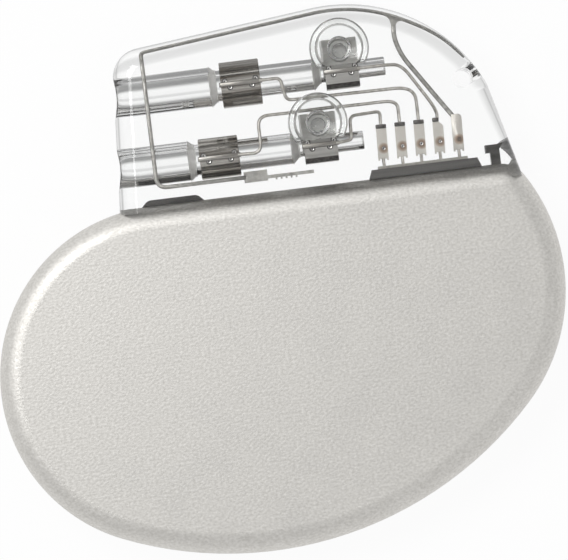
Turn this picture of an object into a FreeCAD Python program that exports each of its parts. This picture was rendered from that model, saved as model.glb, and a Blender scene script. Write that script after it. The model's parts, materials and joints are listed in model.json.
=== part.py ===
import FreeCAD
import Part
import Sketcher
import math
import os
from types import SimpleNamespace

# A dual-chamber pacemaker: a flat titanium can with a clear cast header on its top edge.
# The part lies on its rear face. +Z points out of its front face, +Y from the can to the
# header, and +X along the lead bores, away from their mouths. Millimetres and degrees.

driving_sizes = {
    # Can: two drawn halves that meet at mid thickness
    "can_thickness": 6.0,
    "can_wall": 0.35,
    "can_edge_radius": 2.0,
    "can_inner_chamfer": 1.0,
    "can_top_y": 7.85,
    "can_left_radius": 14.86,
    "can_left_x": -10.25,
    "can_bottom_radius": 32.86,
    "can_bottom_x": -3.17,
    "can_right_radius": 16.2,
    "can_right_x": 8.91,
    "can_shoulder_radius": 2.6,
    "band_thickness": 0.2,
    "band_height": 2.0,
    # Header: outline of its front view, and its edges
    "header_inset": 0.1,
    "header_lip": 0.5,
    "header_edge_radius": 2.0,
    "header_left_x": -12.89,
    "header_left_lean": 4.0,
    "header_corner_radius": 2.6,
    "header_top_slope": 6.0,
    "header_crown_x": 7.35,
    "header_crown_y": 9.26,
    "header_crown_radius": 14.2,
    "header_shoulder_radius": 3.0,
    "header_right_step": 0.93,
    "header_right_lean": 14.19,
    "header_tongue_drop": 1.25,
    "header_tongue_width": 0.75,
    "header_tongue_length": 1.33,
    "suture_x": 18.31,
    "suture_y": 15.72,
    "suture_radius": 0.82,
    # Lead bores: stations along X are measured from the left face of the ring block
    "upper_axis_y": 17.6,
    "lower_axis_y": 11.4,
    "upper_ring_x": -2.74,
    "lower_ring_x": -5.36,
    "wide_bore_radius": 1.74,
    "middle_bore_radius": 1.37,
    "pin_bore_radius": 0.825,
    "wide_bore_end": -0.95,
    "wide_cone_length": 0.5,
    "middle_bore_end": 8.1,
    "pin_cone_length": 0.6,
    "pin_bore_end": 14.43,
    "mouth_flare": 0.45,
    # Ring blocks with their contacts
    "ring_block_length": 3.47,
    "upper_ring_radius": 2.02,
    "lower_ring_radius": 1.80,
    "weld_flat_depth": 0.1,
    "ring_groove_depth": 0.28,
    "ring_groove_width": 2.1,
    "contact_sheet": 0.12,
    "contact_rim": 0.3,
    "contact_bow": 0.3,
    "contact_slots": 6,
    "contact_slot_width": 0.3,
    # Tip blocks with their set screws and septa
    "tip_block_start": 9.15,
    "tip_block_length": 2.93,
    "tip_block_above": 2.78,
    "tip_block_below": 1.52,
    "tip_block_front": 1.95,
    "tip_block_back": 1.75,
    "tip_chamfer": 0.42,
    "screw_offset": 1.73,
    "screw_radius": 0.95,
    "screw_recess": 0.12,
    "screw_shank": 1.4,
    "screw_nose": 0.75,
    "screw_nose_radius": 0.45,
    "screw_room": 0.5,
    "socket_size": 1.15,
    "socket_depth": 0.9,
    "septum_offset": 1.95,
    "septum_radius": 2.57,
    "septum_boss_radius": 2.05,
    "septum_neck_radius": 0.98,
    "septum_flange": 0.3,
    "septum_clear": 0.4,
    "septum_cut": 0.45,
    # Wires and their flattened, welded ends
    "wire_sides": 6,
    "wire_diameter": 0.27,
    "wire_lead": 0.4,
    "ribbon_height": 0.6,
    "ribbon_thickness": 0.14,
    "ribbon_stub": 0.15,
    # Feedthrough and terminals
    "pin_count": 5,
    "pin_pitch": 1.6,
    "pin_first_x": 10.62,
    "pin_diameter": 0.27,
    "pin_inner_y": 5.6,
    "flange_start_x": 9.13,
    "flange_length": 9.87,
    "flange_height": 0.8,
    "flange_width": 3.0,
    "flange_slant": 0.3,
    "flange_neck_depth": 0.6,
    "flange_neck_margin": 0.45,
    "flange_neck_width": 2.2,
    "insulator_start_x": 10.0,
    "insulator_length": 7.9,
    "insulator_width": 1.4,
    "insulator_rise": 0.25,
    "tab_foot_y": 9.4,
    "tab_length": 3.15,
    "tab_width": 0.92,
    "tab_thickness": 0.2,
    "tab_lean": 4.5,
    "tab_ear": 0.16,
    "tab_notch": 0.14,
    "collar_height": 0.36,
    "collar_thickness": 0.5,
    # Antenna: flat strip along the crown, a leg down each side, a terminal plate
    "antenna_depth": 0.46,
    "antenna_width": 0.36,
    "antenna_sheet": 0.15,
    "antenna_left_x": -9.51,
    "antenna_branch_x": 12.75,
    "antenna_right_angle": 54.0,
    "antenna_slope_start": 1.2,
    "antenna_slope_end": 8.2,
    "antenna_foot_y": 9.35,
    "antenna_front": 1.86,
    "anchor_plate_x": -1.7,
    "anchor_plate_length": 2.06,
    "anchor_plate_height": 0.96,
    "anchor_fold": 0.7,
    "anchor_tail": 4.05,
    "anchor_tail_width": 0.3,
    "anchor_barbs": 5,
    "anchor_barb_pitch": 0.44,
    "anchor_barb_size": 0.16,
    # Brackets that tie the header to the can
    "bracket_width": 2.4,
    "left_bracket_x": -10.86,
    "left_bracket_foot": 5.47,
    "left_bracket_top": 4.4,
    "left_bracket_height": 0.55,
    "right_bracket_x": 19.5,
    "right_bracket_head": 1.2,
    "right_bracket_head_height": 0.68,
    "right_bracket_neck": 0.8,
    "right_bracket_height": 1.75,
    # Inside the can
    "fit_gap": 0.1,
    "inner_corner_radius": 1.9,
    "cup_wall": 0.15,
    "cup_chamfer": 0.8,
    "cell_chamfer": 0.7,
    "cup_height": 4.6,
    "battery_top_y": -1.3,
    "tray_gap": 0.35,
    "tray_wall": 0.2,
    "tray_height": 4.6,
    "board_lift": 0.7,
    "board_thickness": 0.6,
    "post_size": 1.2,
    "post_low_y": 0.6,
    "post_high_y": 4.8,
    "post_spacing": 15.0,
    "terminal_radius": 0.3,
    "terminal_x": -2.0,
    "terminal_spacing": 3.4,
    "terminal_reach": 1.7,
    "strap_width": 1.0,
    "strap_thickness": 0.12,
    "strap_foot": 0.7,
    "flex_width": 8.6,
    "flex_sheet": 0.15,
    "flex_foot": 1.2,
    "flex_rise": 0.6,
    "coil_x": -18.3,
    "coil_y": 0.1,
    "coil_length": 3.3,
    "coil_depth": 3.5,
    "coil_height": 0.9,
    "coil_winding": 0.7,
}

# Square parts on the circuit board: lowest corner in X and Y, then length, depth and height
board_parts = {
    "controller_chip": [(-10.4, 1.5, 5.8, 4.9, 1.0)],
    "pacing_chip": [(-3.6, 1.6, 4.6, 4.6, 1.0)],
    "memory_chip": [(2.1, 1.6, 3.0, 4.2, 0.8)],
    "radio_chip": [(10.9, 1.4, 2.6, 2.6, 0.8)],
    "clock_crystal": [(6.2, 4.6, 3.0, 1.5, 0.7)],
    "accelerometer": [(15.2, 1.4, 2.0, 2.0, 0.9)],
    "magnet_sensor": [(18.6, 2.0, 1.4, 1.2, 0.6)],
    "capacitors": [(6.2 + 2.1 * column, 0.2 + 1.4 * line, 1.6, 0.8, 0.8)
                   for column in range(2) for line in range(3)],
    "storage_capacitors": [(-14.2, 1.4, 3.0, 2.0, 1.6), (-14.2, 4.0, 3.0, 2.0, 1.6)],
}


class Size(float):
    # A number that also keeps the spreadsheet formula that it comes from.
    def __new__(cls, value, rule):
        size = super().__new__(cls, value)
        size.rule = rule
        return size

    def __add__(self, other):
        return Size(float(self) + float(other), f"({self.rule} + {rule_of(other)})")

    def __sub__(self, other):
        return Size(float(self) - float(other), f"({self.rule} - {rule_of(other)})")

    def __rsub__(self, other):
        return Size(float(other) - float(self), f"({rule_of(other)} - {self.rule})")

    def __mul__(self, other):
        return Size(float(self) * float(other), f"({self.rule} * {rule_of(other)})")

    def __truediv__(self, other):
        return Size(float(self) / float(other), f"({self.rule} / {rule_of(other)})")

    def __neg__(self):
        return Size(-float(self), f"(-1 * {self.rule})")

    __radd__ = __add__
    __rmul__ = __mul__


def rule_of(number):
    return number.rule if isinstance(number, Size) else repr(float(number))


def tangent(angle):
    return Size(math.tan(math.radians(angle)), f"tan({rule_of(angle)} * 1 deg)")


def cosine(angle):
    return Size(math.cos(math.radians(angle)), f"cos({rule_of(angle)} * 1 deg)")


doc = FreeCAD.newDocument("pacemaker")
sheet = doc.addObject("Spreadsheet::Sheet", "dims")
for row, (name, value) in enumerate(driving_sizes.items(), start=1):
    sheet.set(f"A{row}", name)
    sheet.set(f"B{row}", str(value))
    sheet.setAlias(f"B{row}", name)
doc.recompute()
d = SimpleNamespace(**{name: Size(value, f"dims.{name}") for name, value in driving_sizes.items()})

zero = Size(0, "0")
middle_z = d.can_thickness / 2
header_front_z = d.can_thickness - d.header_inset
nodes = []


def node(thing, label):
    # Names a finished piece and lists it for export.
    thing.Label = label
    nodes.append(thing)
    return thing


def bind(thing, prop, size):
    thing.setExpression(prop, rule_of(size))


def place(thing, x, y, z):
    for axis, size in zip("xyz", (x, y, z)):
        bind(thing, f"Placement.Base.{axis}", size)
    return thing


turn_towards = {
    "X": FreeCAD.Rotation(FreeCAD.Vector(0, 1, 0), 90),
    "Y": FreeCAD.Rotation(FreeCAD.Vector(1, 0, 0), -90),
    "Z": FreeCAD.Rotation(),
}


def block(name, corner, lengths):
    # A box from its lowest corner.
    thing = doc.addObject("Part::Box", name)
    for prop, size in zip(("Length", "Width", "Height"), lengths):
        bind(thing, prop, size)
    return place(thing, *corner)


def rod(name, start, radius, length, along="Z"):
    thing = doc.addObject("Part::Cylinder", name)
    thing.Placement.Rotation = turn_towards[along]
    bind(thing, "Radius", radius)
    bind(thing, "Height", length)
    return place(thing, *start)


def taper(name, start, first_radius, last_radius, length, along="Z"):
    thing = doc.addObject("Part::Cone", name)
    thing.Placement.Rotation = turn_towards[along]
    bind(thing, "Radius1", first_radius)
    bind(thing, "Radius2", last_radius)
    bind(thing, "Height", length)
    return place(thing, *start)


def joined(name, parts):
    thing = doc.addObject("Part::MultiFuse", name)
    thing.Shapes = parts
    thing.Refine = True
    return thing


def group(name, parts):
    # Separate solids that share a node.
    thing = doc.addObject("Part::Compound", name)
    thing.Links = parts
    return thing


def less(name, base, tools):
    thing = doc.addObject("Part::Cut", name)
    thing.Base = base
    thing.Tool = tools[0] if len(tools) == 1 else joined(f"{name}_tools", tools)
    thing.Refine = True
    return thing


def shared(name, parts):
    thing = doc.addObject("Part::MultiCommon", name)
    thing.Shapes = parts
    thing.Refine = True
    return thing


def new_body(name):
    return doc.addObject("PartDesign::Body", name)


def new_sketch(body, name, x=0.0, y=0.0, z=0.0):
    # A sketch on the body's XY plane, moved to x, y, z.
    sketch = body.newObject("Sketcher::SketchObject", name)
    plane = next(item for item in body.Origin.OriginFeatures if item.Role == "XY_Plane")
    sketch.AttachmentSupport = [(plane, "")]
    sketch.MapMode = "FlatFace"
    for axis, size in zip("xyz", (x, y, z)):
        bind(sketch, f"AttachmentOffset.Base.{axis}", size)
    return sketch


def fix(sketch, kind, where, size):
    # A sized constraint bound to its formula.
    value = math.radians(size) if kind == "Angle" else float(size)
    index = sketch.addConstraint(Sketcher.Constraint(kind, *where, value))
    bind(sketch, f"Constraints[{index}]", size)


def fix_point(sketch, edge, end, x, y):
    fix(sketch, "DistanceX", (-1, 1, edge, end), x)
    fix(sketch, "DistanceY", (-1, 1, edge, end), y)


def point(x, y):
    return FreeCAD.Vector(float(x), float(y), 0)


def arc(centre, radius, start, stop):
    # Anticlockwise, angles in radians.
    circle = Part.Circle(centre, FreeCAD.Vector(0, 0, 1), float(radius))
    return Part.ArcOfCircle(circle, start, stop)


def angle_between(centre, other):
    return math.atan2(other.y - centre.y, other.x - centre.x)


def polygon(sketch, corners):
    # A closed outline of straight edges, each corner bound to its two sizes.
    first = sketch.GeometryCount
    count = len(corners)
    for index, corner in enumerate(corners):
        follower = corners[(index + 1) % count]
        sketch.addGeometry(Part.LineSegment(point(*corner), point(*follower)))
    for index, corner in enumerate(corners):
        before = first + (index - 1) % count
        sketch.addConstraint(Sketcher.Constraint("Coincident", before, 2, first + index, 1))
        fix_point(sketch, first + index, 1, *corner)


def pad(body, sketch, name, length):
    feature = body.newObject("PartDesign::Pad", name)
    feature.Profile = sketch
    bind(feature, "Length", length)
    sketch.Visibility = False
    return feature


def revolve(body, sketch, name, kind="PartDesign::Revolution"):
    # A full turn about the sketch's own horizontal axis.
    feature = body.newObject(kind, name)
    feature.Profile = sketch
    feature.ReferenceAxis = (sketch, ["H_Axis"])
    feature.Angle = 360
    return feature


def soften(body, base, name, kind, prop, size, wanted):
    # Rounds or chamfers the edges that the test picks; the base is built first, to have edges.
    doc.recompute()
    edges = [f"Edge{i}" for i, edge in enumerate(base.Shape.Edges, start=1) if wanted(edge)]
    feature = body.newObject(kind, name)
    feature.Base = (base, edges)
    bind(feature, prop, size)
    return feature


def round_edges(body, base, name, radius, wanted):
    return soften(body, base, name, "PartDesign::Fillet", "Radius", radius, wanted)


def lies_flat(edge):
    box = edge.BoundBox
    return box.ZLength < 0.001


# The can's outline: three arcs that run into each other, a straight top and a rounded shoulder

def can_centres():
    # Centres of the left, bottom and right arcs, which the inner outlines share.
    left = point(d.can_left_x, d.can_top_y - d.can_left_radius)
    reach = float(d.can_bottom_radius - d.can_left_radius)
    across = float(d.can_bottom_x) - left.x
    bottom = point(d.can_bottom_x, left.y + math.sqrt(reach ** 2 - across ** 2))
    reach = float(d.can_bottom_radius - d.can_right_radius)
    across = float(d.can_right_x) - bottom.x
    right = point(d.can_right_x, bottom.y - math.sqrt(reach ** 2 - across ** 2))
    return left, bottom, right


def can_outline(sketch, inset, top=None, corner=None):
    # The can's outline moved inwards. With a top and a corner radius, it is the part of it
    # below that height, with both upper corners rounded.
    left, bottom, right = can_centres()
    radii = [d.can_left_radius - inset, d.can_bottom_radius - inset, d.can_right_radius - inset]
    rounded_left = top is not None
    top = d.can_top_y - inset if top is None else top
    corner = d.can_shoulder_radius - inset if corner is None else corner

    def corner_centre(centre, radius, side):
        height = float(top - corner) - centre.y
        across = math.sqrt(float(radius - corner) ** 2 - height ** 2)
        return point(centre.x + side * across, top - corner)

    low_left = angle_between(bottom, left)
    low_right = angle_between(bottom, right)
    right_corner = corner_centre(right, radii[2], 1)
    right_end = angle_between(right, right_corner)
    left_corner = corner_centre(left, radii[0], -1) if rounded_left else left
    left_start = angle_between(left, left_corner) if rounded_left else math.pi / 2
    sketch.addGeometry(arc(left, radii[0], left_start % (2 * math.pi), low_left % (2 * math.pi)))
    sketch.addGeometry(arc(bottom, radii[1], low_left, low_right))
    sketch.addGeometry(arc(right, radii[2], low_right, right_end))
    sketch.addGeometry(arc(right_corner, corner, right_end, math.pi / 2))
    sketch.addGeometry(Part.LineSegment(point(right_corner.x, top), point(left_corner.x, top)))
    joints = [(0, 2, 1, 1), (1, 2, 2, 1), (2, 2, 3, 1), (3, 2, 4, 1)]
    if rounded_left:
        sketch.addGeometry(arc(left_corner, corner, math.pi / 2, left_start % (2 * math.pi)))
        joints += [(4, 2, 5, 1), (5, 2, 0, 1)]
    else:
        joints += [(4, 2, 0, 1)]
    for joint in joints:
        sketch.addConstraint(Sketcher.Constraint("Tangent", *joint))
    sketch.addConstraint(Sketcher.Constraint("Horizontal", 4))
    for edge, radius in enumerate(radii):
        fix(sketch, "Radius", (edge,), radius)
    fix(sketch, "Radius", (3,), corner)
    fix(sketch, "DistanceX", (-1, 1, 0, 3), d.can_left_x)
    fix(sketch, "DistanceY", (-1, 1, 0, 3), d.can_top_y - d.can_left_radius)
    fix(sketch, "DistanceX", (-1, 1, 1, 3), d.can_bottom_x)
    fix(sketch, "DistanceX", (-1, 1, 2, 3), d.can_right_x)
    if rounded_left:
        fix(sketch, "Radius", (5,), corner)
        fix(sketch, "DistanceY", (-1, 1, 4, 1), top)


def can_solid(name, inset, bottom_z, height, top=None, corner=None):
    # A solid inside the can's outline, with square edges.
    body = new_body(name)
    sketch = new_sketch(body, f"{name}_outline", z=bottom_z)
    can_outline(sketch, inset, top, corner)
    pad(body, sketch, f"{name}_pad", height)
    return body


def bevelled(body, size, only_rear=False):
    # Chamfers a can solid round its two faces or round its rear face.
    solid = body.Tip
    doc.recompute()
    bottom_z = solid.Shape.BoundBox.ZMin

    def is_wanted(edge):
        return lies_flat(edge) and (not only_rear or abs(edge.BoundBox.ZMin - bottom_z) < 0.001)

    soften(body, solid, f"{body.Name}_bevel", "PartDesign::Chamfer", "Size", size, is_wanted)
    return body


can_form = can_solid("can_form", zero, zero, d.can_thickness)
round_edges(can_form, can_form.Tip, "can_form_edges", d.can_edge_radius, lies_flat)
can_room = bevelled(can_solid("can_room", d.can_wall, d.can_wall, d.can_thickness - 2 * d.can_wall),
                    d.can_inner_chamfer)

# The can's opening for the feedthrough, half of it in each can half

neck_start_x = d.flange_start_x + d.flange_neck_margin
neck_length = d.flange_length - 2 * d.flange_neck_margin
neck_corner = (neck_start_x, d.can_top_y - d.flange_neck_depth, middle_z - d.flange_neck_width / 2)
can_opening = block("can_opening", neck_corner,
                    (neck_length, d.flange_neck_depth * 2, d.flange_neck_width))
can_wall_form = less("can_wall_form", can_form, [can_room, can_opening])
world = 60.0
front_half = block("front_half", (-world / 2, -world / 2, middle_z), (world, world, world))
rear_half = block("rear_half", (-world / 2, -world / 2, middle_z - world), (world, world, world))
node(shared("can_front", [can_wall_form, front_half]), "can_front")
node(shared("can_rear", [can_wall_form, rear_half]), "can_rear")

# Backing band behind the seam weld, open at the feedthrough

band_z = middle_z - d.band_height / 2
band_outer = can_solid("band_outer", d.can_wall, band_z, d.band_height)
band_inner = can_solid("band_inner", d.can_wall + d.band_thickness, band_z, d.band_height)
node(less("weld_band", band_outer, [band_inner, can_opening]), "weld_band")

# Battery: one sealed cell in an insulating cup, with a flat side towards the electronics

cup_inset = d.can_wall + d.band_thickness + d.fit_gap
cup_inner_inset = cup_inset + d.cup_wall
battery_inset = cup_inner_inset + d.fit_gap
cup_top_y = d.battery_top_y + d.fit_gap + d.cup_wall
cup_floor_z = d.can_wall + d.cup_wall
cup_outer = can_solid("cup_outer", cup_inset, d.can_wall, d.cup_height, cup_top_y, d.inner_corner_radius)
cup_inner = can_solid("cup_inner", cup_inner_inset, cup_floor_z, d.cup_height, cup_top_y - d.cup_wall,
                      d.inner_corner_radius - d.cup_wall)
battery = can_solid("battery", battery_inset, cup_floor_z,
                    d.can_thickness - d.can_wall - d.fit_gap - cup_floor_z, d.battery_top_y,
                    d.inner_corner_radius - d.cup_wall - d.fit_gap)
bevelled(cup_outer, d.cup_chamfer, only_rear=True)
bevelled(cup_inner, d.cell_chamfer, only_rear=True)
node(bevelled(battery, d.cell_chamfer), "battery")
terminals = []
for i in range(2):
    terminal_start = (d.terminal_x + i * d.terminal_spacing, d.battery_top_y, middle_z)
    terminals.append(rod(f"terminal_{i + 1}", terminal_start, d.terminal_radius, d.terminal_reach, "Y"))
node(group("battery_terminals", terminals), "battery_terminals")
slot_size = 2 * (d.terminal_radius + d.fit_gap)
terminal_slots = []
for i in range(2):
    slot_x = d.terminal_x + i * d.terminal_spacing - slot_size / 2
    slot_corner = (slot_x, d.battery_top_y, middle_z - slot_size / 2)
    slot_lengths = (slot_size, d.terminal_reach, d.can_thickness)
    terminal_slots.append(block(f"terminal_slot_{i + 1}", slot_corner, slot_lengths))
node(less("battery_cup", cup_outer, [cup_inner] + terminal_slots), "battery_cup")

# Electronics tray: a cup above the battery, whose posts carry the circuit board

tray_low_y = cup_top_y + d.tray_gap
tray_floor_z = d.can_wall + d.tray_wall
board_z = tray_floor_z + d.board_lift
board_top_z = board_z + d.board_thickness


def upper_part(name, inset, low_y, bottom_z, height, chamfer=None):
    # The part of the can's outline above a height, and chamfered round the outline's rear.
    whole = can_solid(f"{name}_whole", inset, bottom_z, height)
    if chamfer is not None:
        bevelled(whole, chamfer, only_rear=True)
    above = block(f"{name}_above", (-world / 2, low_y, bottom_z), (world, world, height))
    return shared(name, [whole, above])


tray_outer = upper_part("tray_outer", cup_inset, tray_low_y, d.can_wall, d.tray_height, d.cup_chamfer)
tray_inner = upper_part("tray_inner", cup_inset + d.tray_wall, tray_low_y + d.tray_wall, tray_floor_z,
                        d.tray_height, d.cell_chamfer)
pin_notch = block("pin_notch", (neck_start_x, d.can_top_y - cup_inset - 2 * d.tray_wall,
                                middle_z - d.flange_neck_width / 2),
                  (neck_length, 3 * d.tray_wall, d.can_thickness))
tray_cup = less("tray_cup", tray_outer, [tray_inner, pin_notch] + terminal_slots)
posts = []
post_lengths = (d.post_size, d.post_size, d.board_lift)
for row, post_y in enumerate((d.post_low_y, d.post_high_y), start=1):
    for column in (-1, 0, 1):
        post_corner = (column * d.post_spacing - d.post_size / 2, post_y - d.post_size / 2, tray_floor_z)
        posts.append(block(f"post_{row}_{column + 2}", post_corner, post_lengths))
node(joined("electronics_tray", [tray_cup] + posts), "electronics_tray")
board_inset = cup_inset + d.tray_wall + d.fit_gap
board = upper_part("circuit_board", board_inset, tray_low_y + d.tray_wall + d.fit_gap, board_z,
                   d.board_thickness)
node(board, "circuit_board")

# Board parts, the battery's straps, the flex that takes the pins to the board, and the coil

for name, places in board_parts.items():
    pieces = [block(f"{name}_{i + 1}", (x, y, board_top_z), (length, depth, height))
              for i, (x, y, length, depth, height) in enumerate(places)]
    node(group(f"{name}_set", pieces) if len(pieces) > 1 else pieces[0], name)

strap_y = d.battery_top_y + d.terminal_reach
straps = []
for i in range(2):
    strap_x = d.terminal_x + i * d.terminal_spacing - d.strap_width / 2
    riser = block(f"strap_{i + 1}_riser", (strap_x, strap_y, board_top_z),
                  (d.strap_width, d.strap_thickness, middle_z + d.terminal_radius - board_top_z))
    foot = block(f"strap_{i + 1}_foot", (strap_x, strap_y, board_top_z),
                 (d.strap_width, d.strap_foot, d.strap_thickness))
    straps.append(joined(f"strap_{i + 1}", [riser, foot]))
node(group("battery_straps", straps), "battery_straps")

coil_outer = block("coil_outer", (d.coil_x, d.coil_y, board_top_z),
                   (d.coil_length, d.coil_depth, d.coil_height))
core_length = d.coil_length - 2 * d.coil_winding
core_depth = d.coil_depth - 2 * d.coil_winding
coil_inner = block("coil_inner", (d.coil_x + d.coil_winding, d.coil_y + d.coil_winding, board_top_z),
                   (core_length, core_depth, d.coil_height))
node(less("telemetry_coil", coil_outer, [coil_inner]), "telemetry_coil")

# Lead bores: a stepped bore with two cones, a flared mouth and a flat blind end


def new_port(axis_y, ring_x, ring_radius):
    return SimpleNamespace(axis_y=axis_y, ring_x=ring_x, ring_radius=ring_radius)


ports = {
    "upper": new_port(d.upper_axis_y, d.upper_ring_x, d.upper_ring_radius),
    "lower": new_port(d.lower_axis_y, d.lower_ring_x, d.lower_ring_radius),
}
header_bottom_y = d.can_top_y - d.header_lip
header_right_x = d.header_crown_x + d.header_crown_radius + d.header_right_step


def bore_form(name, port):
    body = new_body(name)
    sketch = new_sketch(body, f"{name}_profile", y=port.axis_y, z=middle_z)
    mouth_x = d.header_left_x + (port.axis_y - header_bottom_y) * tangent(d.header_left_lean)
    wide_end = port.ring_x + d.wide_bore_end
    middle_end = port.ring_x + d.middle_bore_end
    flared = d.wide_bore_radius + d.mouth_flare
    outside = mouth_x - 2 * d.mouth_flare
    polygon(sketch, [
        (outside, zero),
        (outside, flared + d.mouth_flare),
        (mouth_x, flared),
        (mouth_x + d.mouth_flare, d.wide_bore_radius),
        (wide_end, d.wide_bore_radius),
        (wide_end + d.wide_cone_length, d.middle_bore_radius),
        (middle_end, d.middle_bore_radius),
        (middle_end + d.pin_cone_length, d.pin_bore_radius),
        (port.ring_x + d.pin_bore_end, d.pin_bore_radius),
        (port.ring_x + d.pin_bore_end, zero),
    ])
    revolve(body, sketch, f"{name}_turn")
    return body


# Ring blocks: a turned block with a flat for the ribbon and a groove for the contact

def ring_block(side, port):
    form = rod(f"ring_block_{side}_round", (port.ring_x, port.axis_y, middle_z), port.ring_radius,
               d.ring_block_length, "X")
    flat_z = middle_z + port.ring_radius - d.weld_flat_depth
    flat = block(f"ring_block_{side}_flat", (port.ring_x, port.axis_y - port.ring_radius, flat_z),
                 (d.ring_block_length, 2 * port.ring_radius, d.ring_groove_width))
    form = less(f"ring_block_{side}_form", form, [flat])
    bore = rod(f"ring_block_{side}_bore", (port.ring_x, port.axis_y, middle_z), d.middle_bore_radius,
               d.ring_block_length, "X")
    groove_x = port.ring_x + (d.ring_block_length - d.ring_groove_width) / 2
    groove = rod(f"ring_block_{side}_groove", (groove_x, port.axis_y, middle_z),
                 d.middle_bore_radius + d.ring_groove_depth, d.ring_groove_width, "X")
    node(less(f"ring_block_{side}", form, [bore, groove]), f"ring_block_{side}")
    return form


# Ring contacts: a rolled sleeve with fingers that bow into the bore

def ring_contact(side, port):
    name = f"ring_contact_{side}"
    body = new_body(f"{name}_sleeve")
    start = port.ring_x + (d.ring_block_length - d.ring_groove_width) / 2
    sketch = new_sketch(body, f"{name}_profile", x=start, y=port.axis_y, z=middle_z)
    outer = d.middle_bore_radius + d.ring_groove_depth
    bowed = outer - d.contact_bow
    half = d.ring_groove_width / 2
    polygon(sketch, [
        (zero, outer - d.contact_sheet),
        (zero, outer),
        (half, bowed),
        (d.ring_groove_width, outer),
        (d.ring_groove_width, outer - d.contact_sheet),
        (half, bowed - d.contact_sheet),
    ])
    revolve(body, sketch, f"{name}_turn")
    slots = []
    for index in range(int(d.contact_slots)):
        slot = block(f"{name}_slot_{index + 1}", (start + d.contact_rim, port.axis_y, middle_z),
                     (d.ring_groove_width - 2 * d.contact_rim, d.contact_slot_width, outer))
        turn = 360.0 / d.contact_slots * index
        slot.Placement.Rotation = FreeCAD.Rotation(FreeCAD.Vector(1, 0, 0), turn)
        slots.append(slot)
    node(less(name, body, slots), name)


# Tip blocks: the pin bore and the tapped hole that meets it from the front

def tip_block(side, port):
    name = f"tip_block_{side}"
    start_x = port.ring_x + d.tip_block_start
    low_y = port.axis_y - d.tip_block_below
    form = new_body(f"{name}_form")
    sketch = new_sketch(form, f"{name}_face", z=middle_z - d.tip_block_back)
    end_x = start_x + d.tip_block_length
    high_y = port.axis_y + d.tip_block_above
    polygon(sketch, [(start_x, low_y), (end_x, low_y), (end_x, high_y), (start_x, high_y)])
    solid = pad(form, sketch, f"{name}_pad", d.tip_block_front + d.tip_block_back)
    front_z = middle_z + d.tip_block_front

    def is_low_front(edge):
        bounds = edge.BoundBox
        return abs(bounds.YMax - low_y) < 0.001 and abs(bounds.ZMin - front_z) < 0.001

    soften(form, solid, f"{name}_chamfer", "PartDesign::Chamfer", "Size", d.tip_chamfer, is_low_front)
    bore = rod(f"{name}_bore", (start_x, port.axis_y, middle_z), d.pin_bore_radius,
               d.tip_block_length, "X")
    screw_x = start_x + d.tip_block_length / 2
    screw_y = port.axis_y + d.screw_offset
    depth = d.screw_recess + d.screw_shank + d.screw_nose + d.screw_room
    hole = rod(f"{name}_hole", (screw_x, screw_y, front_z - depth), d.screw_radius, depth)
    node(less(name, form, [bore, hole]), name)
    return form


# Set screws: a threaded shank, a conical nose and a hexagonal socket

def setscrew(side, port):
    name = f"setscrew_{side}"
    x = port.ring_x + d.tip_block_start + d.tip_block_length / 2
    y = port.axis_y + d.screw_offset
    head_z = middle_z + d.tip_block_front - d.screw_recess
    shank_z = head_z - d.screw_shank
    shank = rod(f"{name}_shank", (x, y, shank_z), d.screw_radius, d.screw_shank)
    nose = taper(f"{name}_nose", (x, y, shank_z - d.screw_nose), d.screw_nose_radius, d.screw_radius,
                 d.screw_nose)
    socket = doc.addObject("Part::Prism", f"{name}_socket")
    socket.Polygon = 6
    bind(socket, "Circumradius", d.socket_size / 2 / cosine(30))
    bind(socket, "Height", d.socket_depth)
    place(socket, x, y, head_z - d.socket_depth)
    node(less(name, joined(f"{name}_solid", [shank, nose]), [socket]), name)


# Septa: a clear plug flush with the header's front, cut straight above the ribbon

def septum(side, port):
    name = f"septum_{side}"
    x = port.ring_x + d.tip_block_start + d.tip_block_length / 2
    y = port.axis_y + d.septum_offset
    block_z = middle_z + d.tip_block_front
    flange_z = block_z + d.septum_clear
    flange = rod(f"{name}_flange", (x, y, flange_z), d.septum_radius, d.septum_flange)
    boss_z = flange_z + d.septum_flange
    boss = rod(f"{name}_boss", (x, y, boss_z), d.septum_boss_radius, header_front_z - boss_z)
    neck = rod(f"{name}_neck", (x, y, block_z), d.septum_neck_radius, d.septum_clear)
    cut_height = 2 * d.septum_radius - d.septum_offset + d.septum_cut
    below = block(f"{name}_below", (x - d.septum_radius, y - 2 * d.septum_radius, block_z),
                  (2 * d.septum_radius, cut_height, d.can_thickness))
    node(less(name, joined(f"{name}_plug", [flange, boss, neck]), [below]), name)


bore_forms = []
block_forms = []
for side, port in ports.items():
    bore_forms.append(bore_form(f"bore_{side}", port))
    block_forms.append(ring_block(side, port))
    ring_contact(side, port)
    block_forms.append(tip_block(side, port))
    setscrew(side, port)
    septum(side, port)

# Feedthrough: a flange welded into the can's opening, its insulator and five pins

flange = new_body("feedthrough_flange_plate")
flange_sketch = new_sketch(flange, "flange_profile", z=middle_z - d.flange_width / 2)
flange_end_x = d.flange_start_x + d.flange_length
flange_top_y = d.can_top_y + d.flange_height
polygon(flange_sketch, [
    (d.flange_start_x, d.can_top_y),
    (flange_end_x, d.can_top_y),
    (flange_end_x - d.flange_slant, flange_top_y),
    (d.flange_start_x + d.flange_slant, flange_top_y),
])
pad(flange, flange_sketch, "flange_pad", d.flange_width)
flange_neck = block("flange_neck", neck_corner, (neck_length, d.flange_neck_depth, d.flange_neck_width))
insulator_corner = (d.insulator_start_x, neck_corner[1], middle_z - d.insulator_width / 2)
insulator_height = d.flange_neck_depth + d.flange_height + d.insulator_rise
insulator_form = block("insulator_form", insulator_corner,
                       (d.insulator_length, insulator_height, d.insulator_width))
flange_solid = joined("flange_solid", [flange, flange_neck])
node(less("feedthrough_flange", flange_solid, [insulator_form]), "feedthrough_flange")


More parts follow.
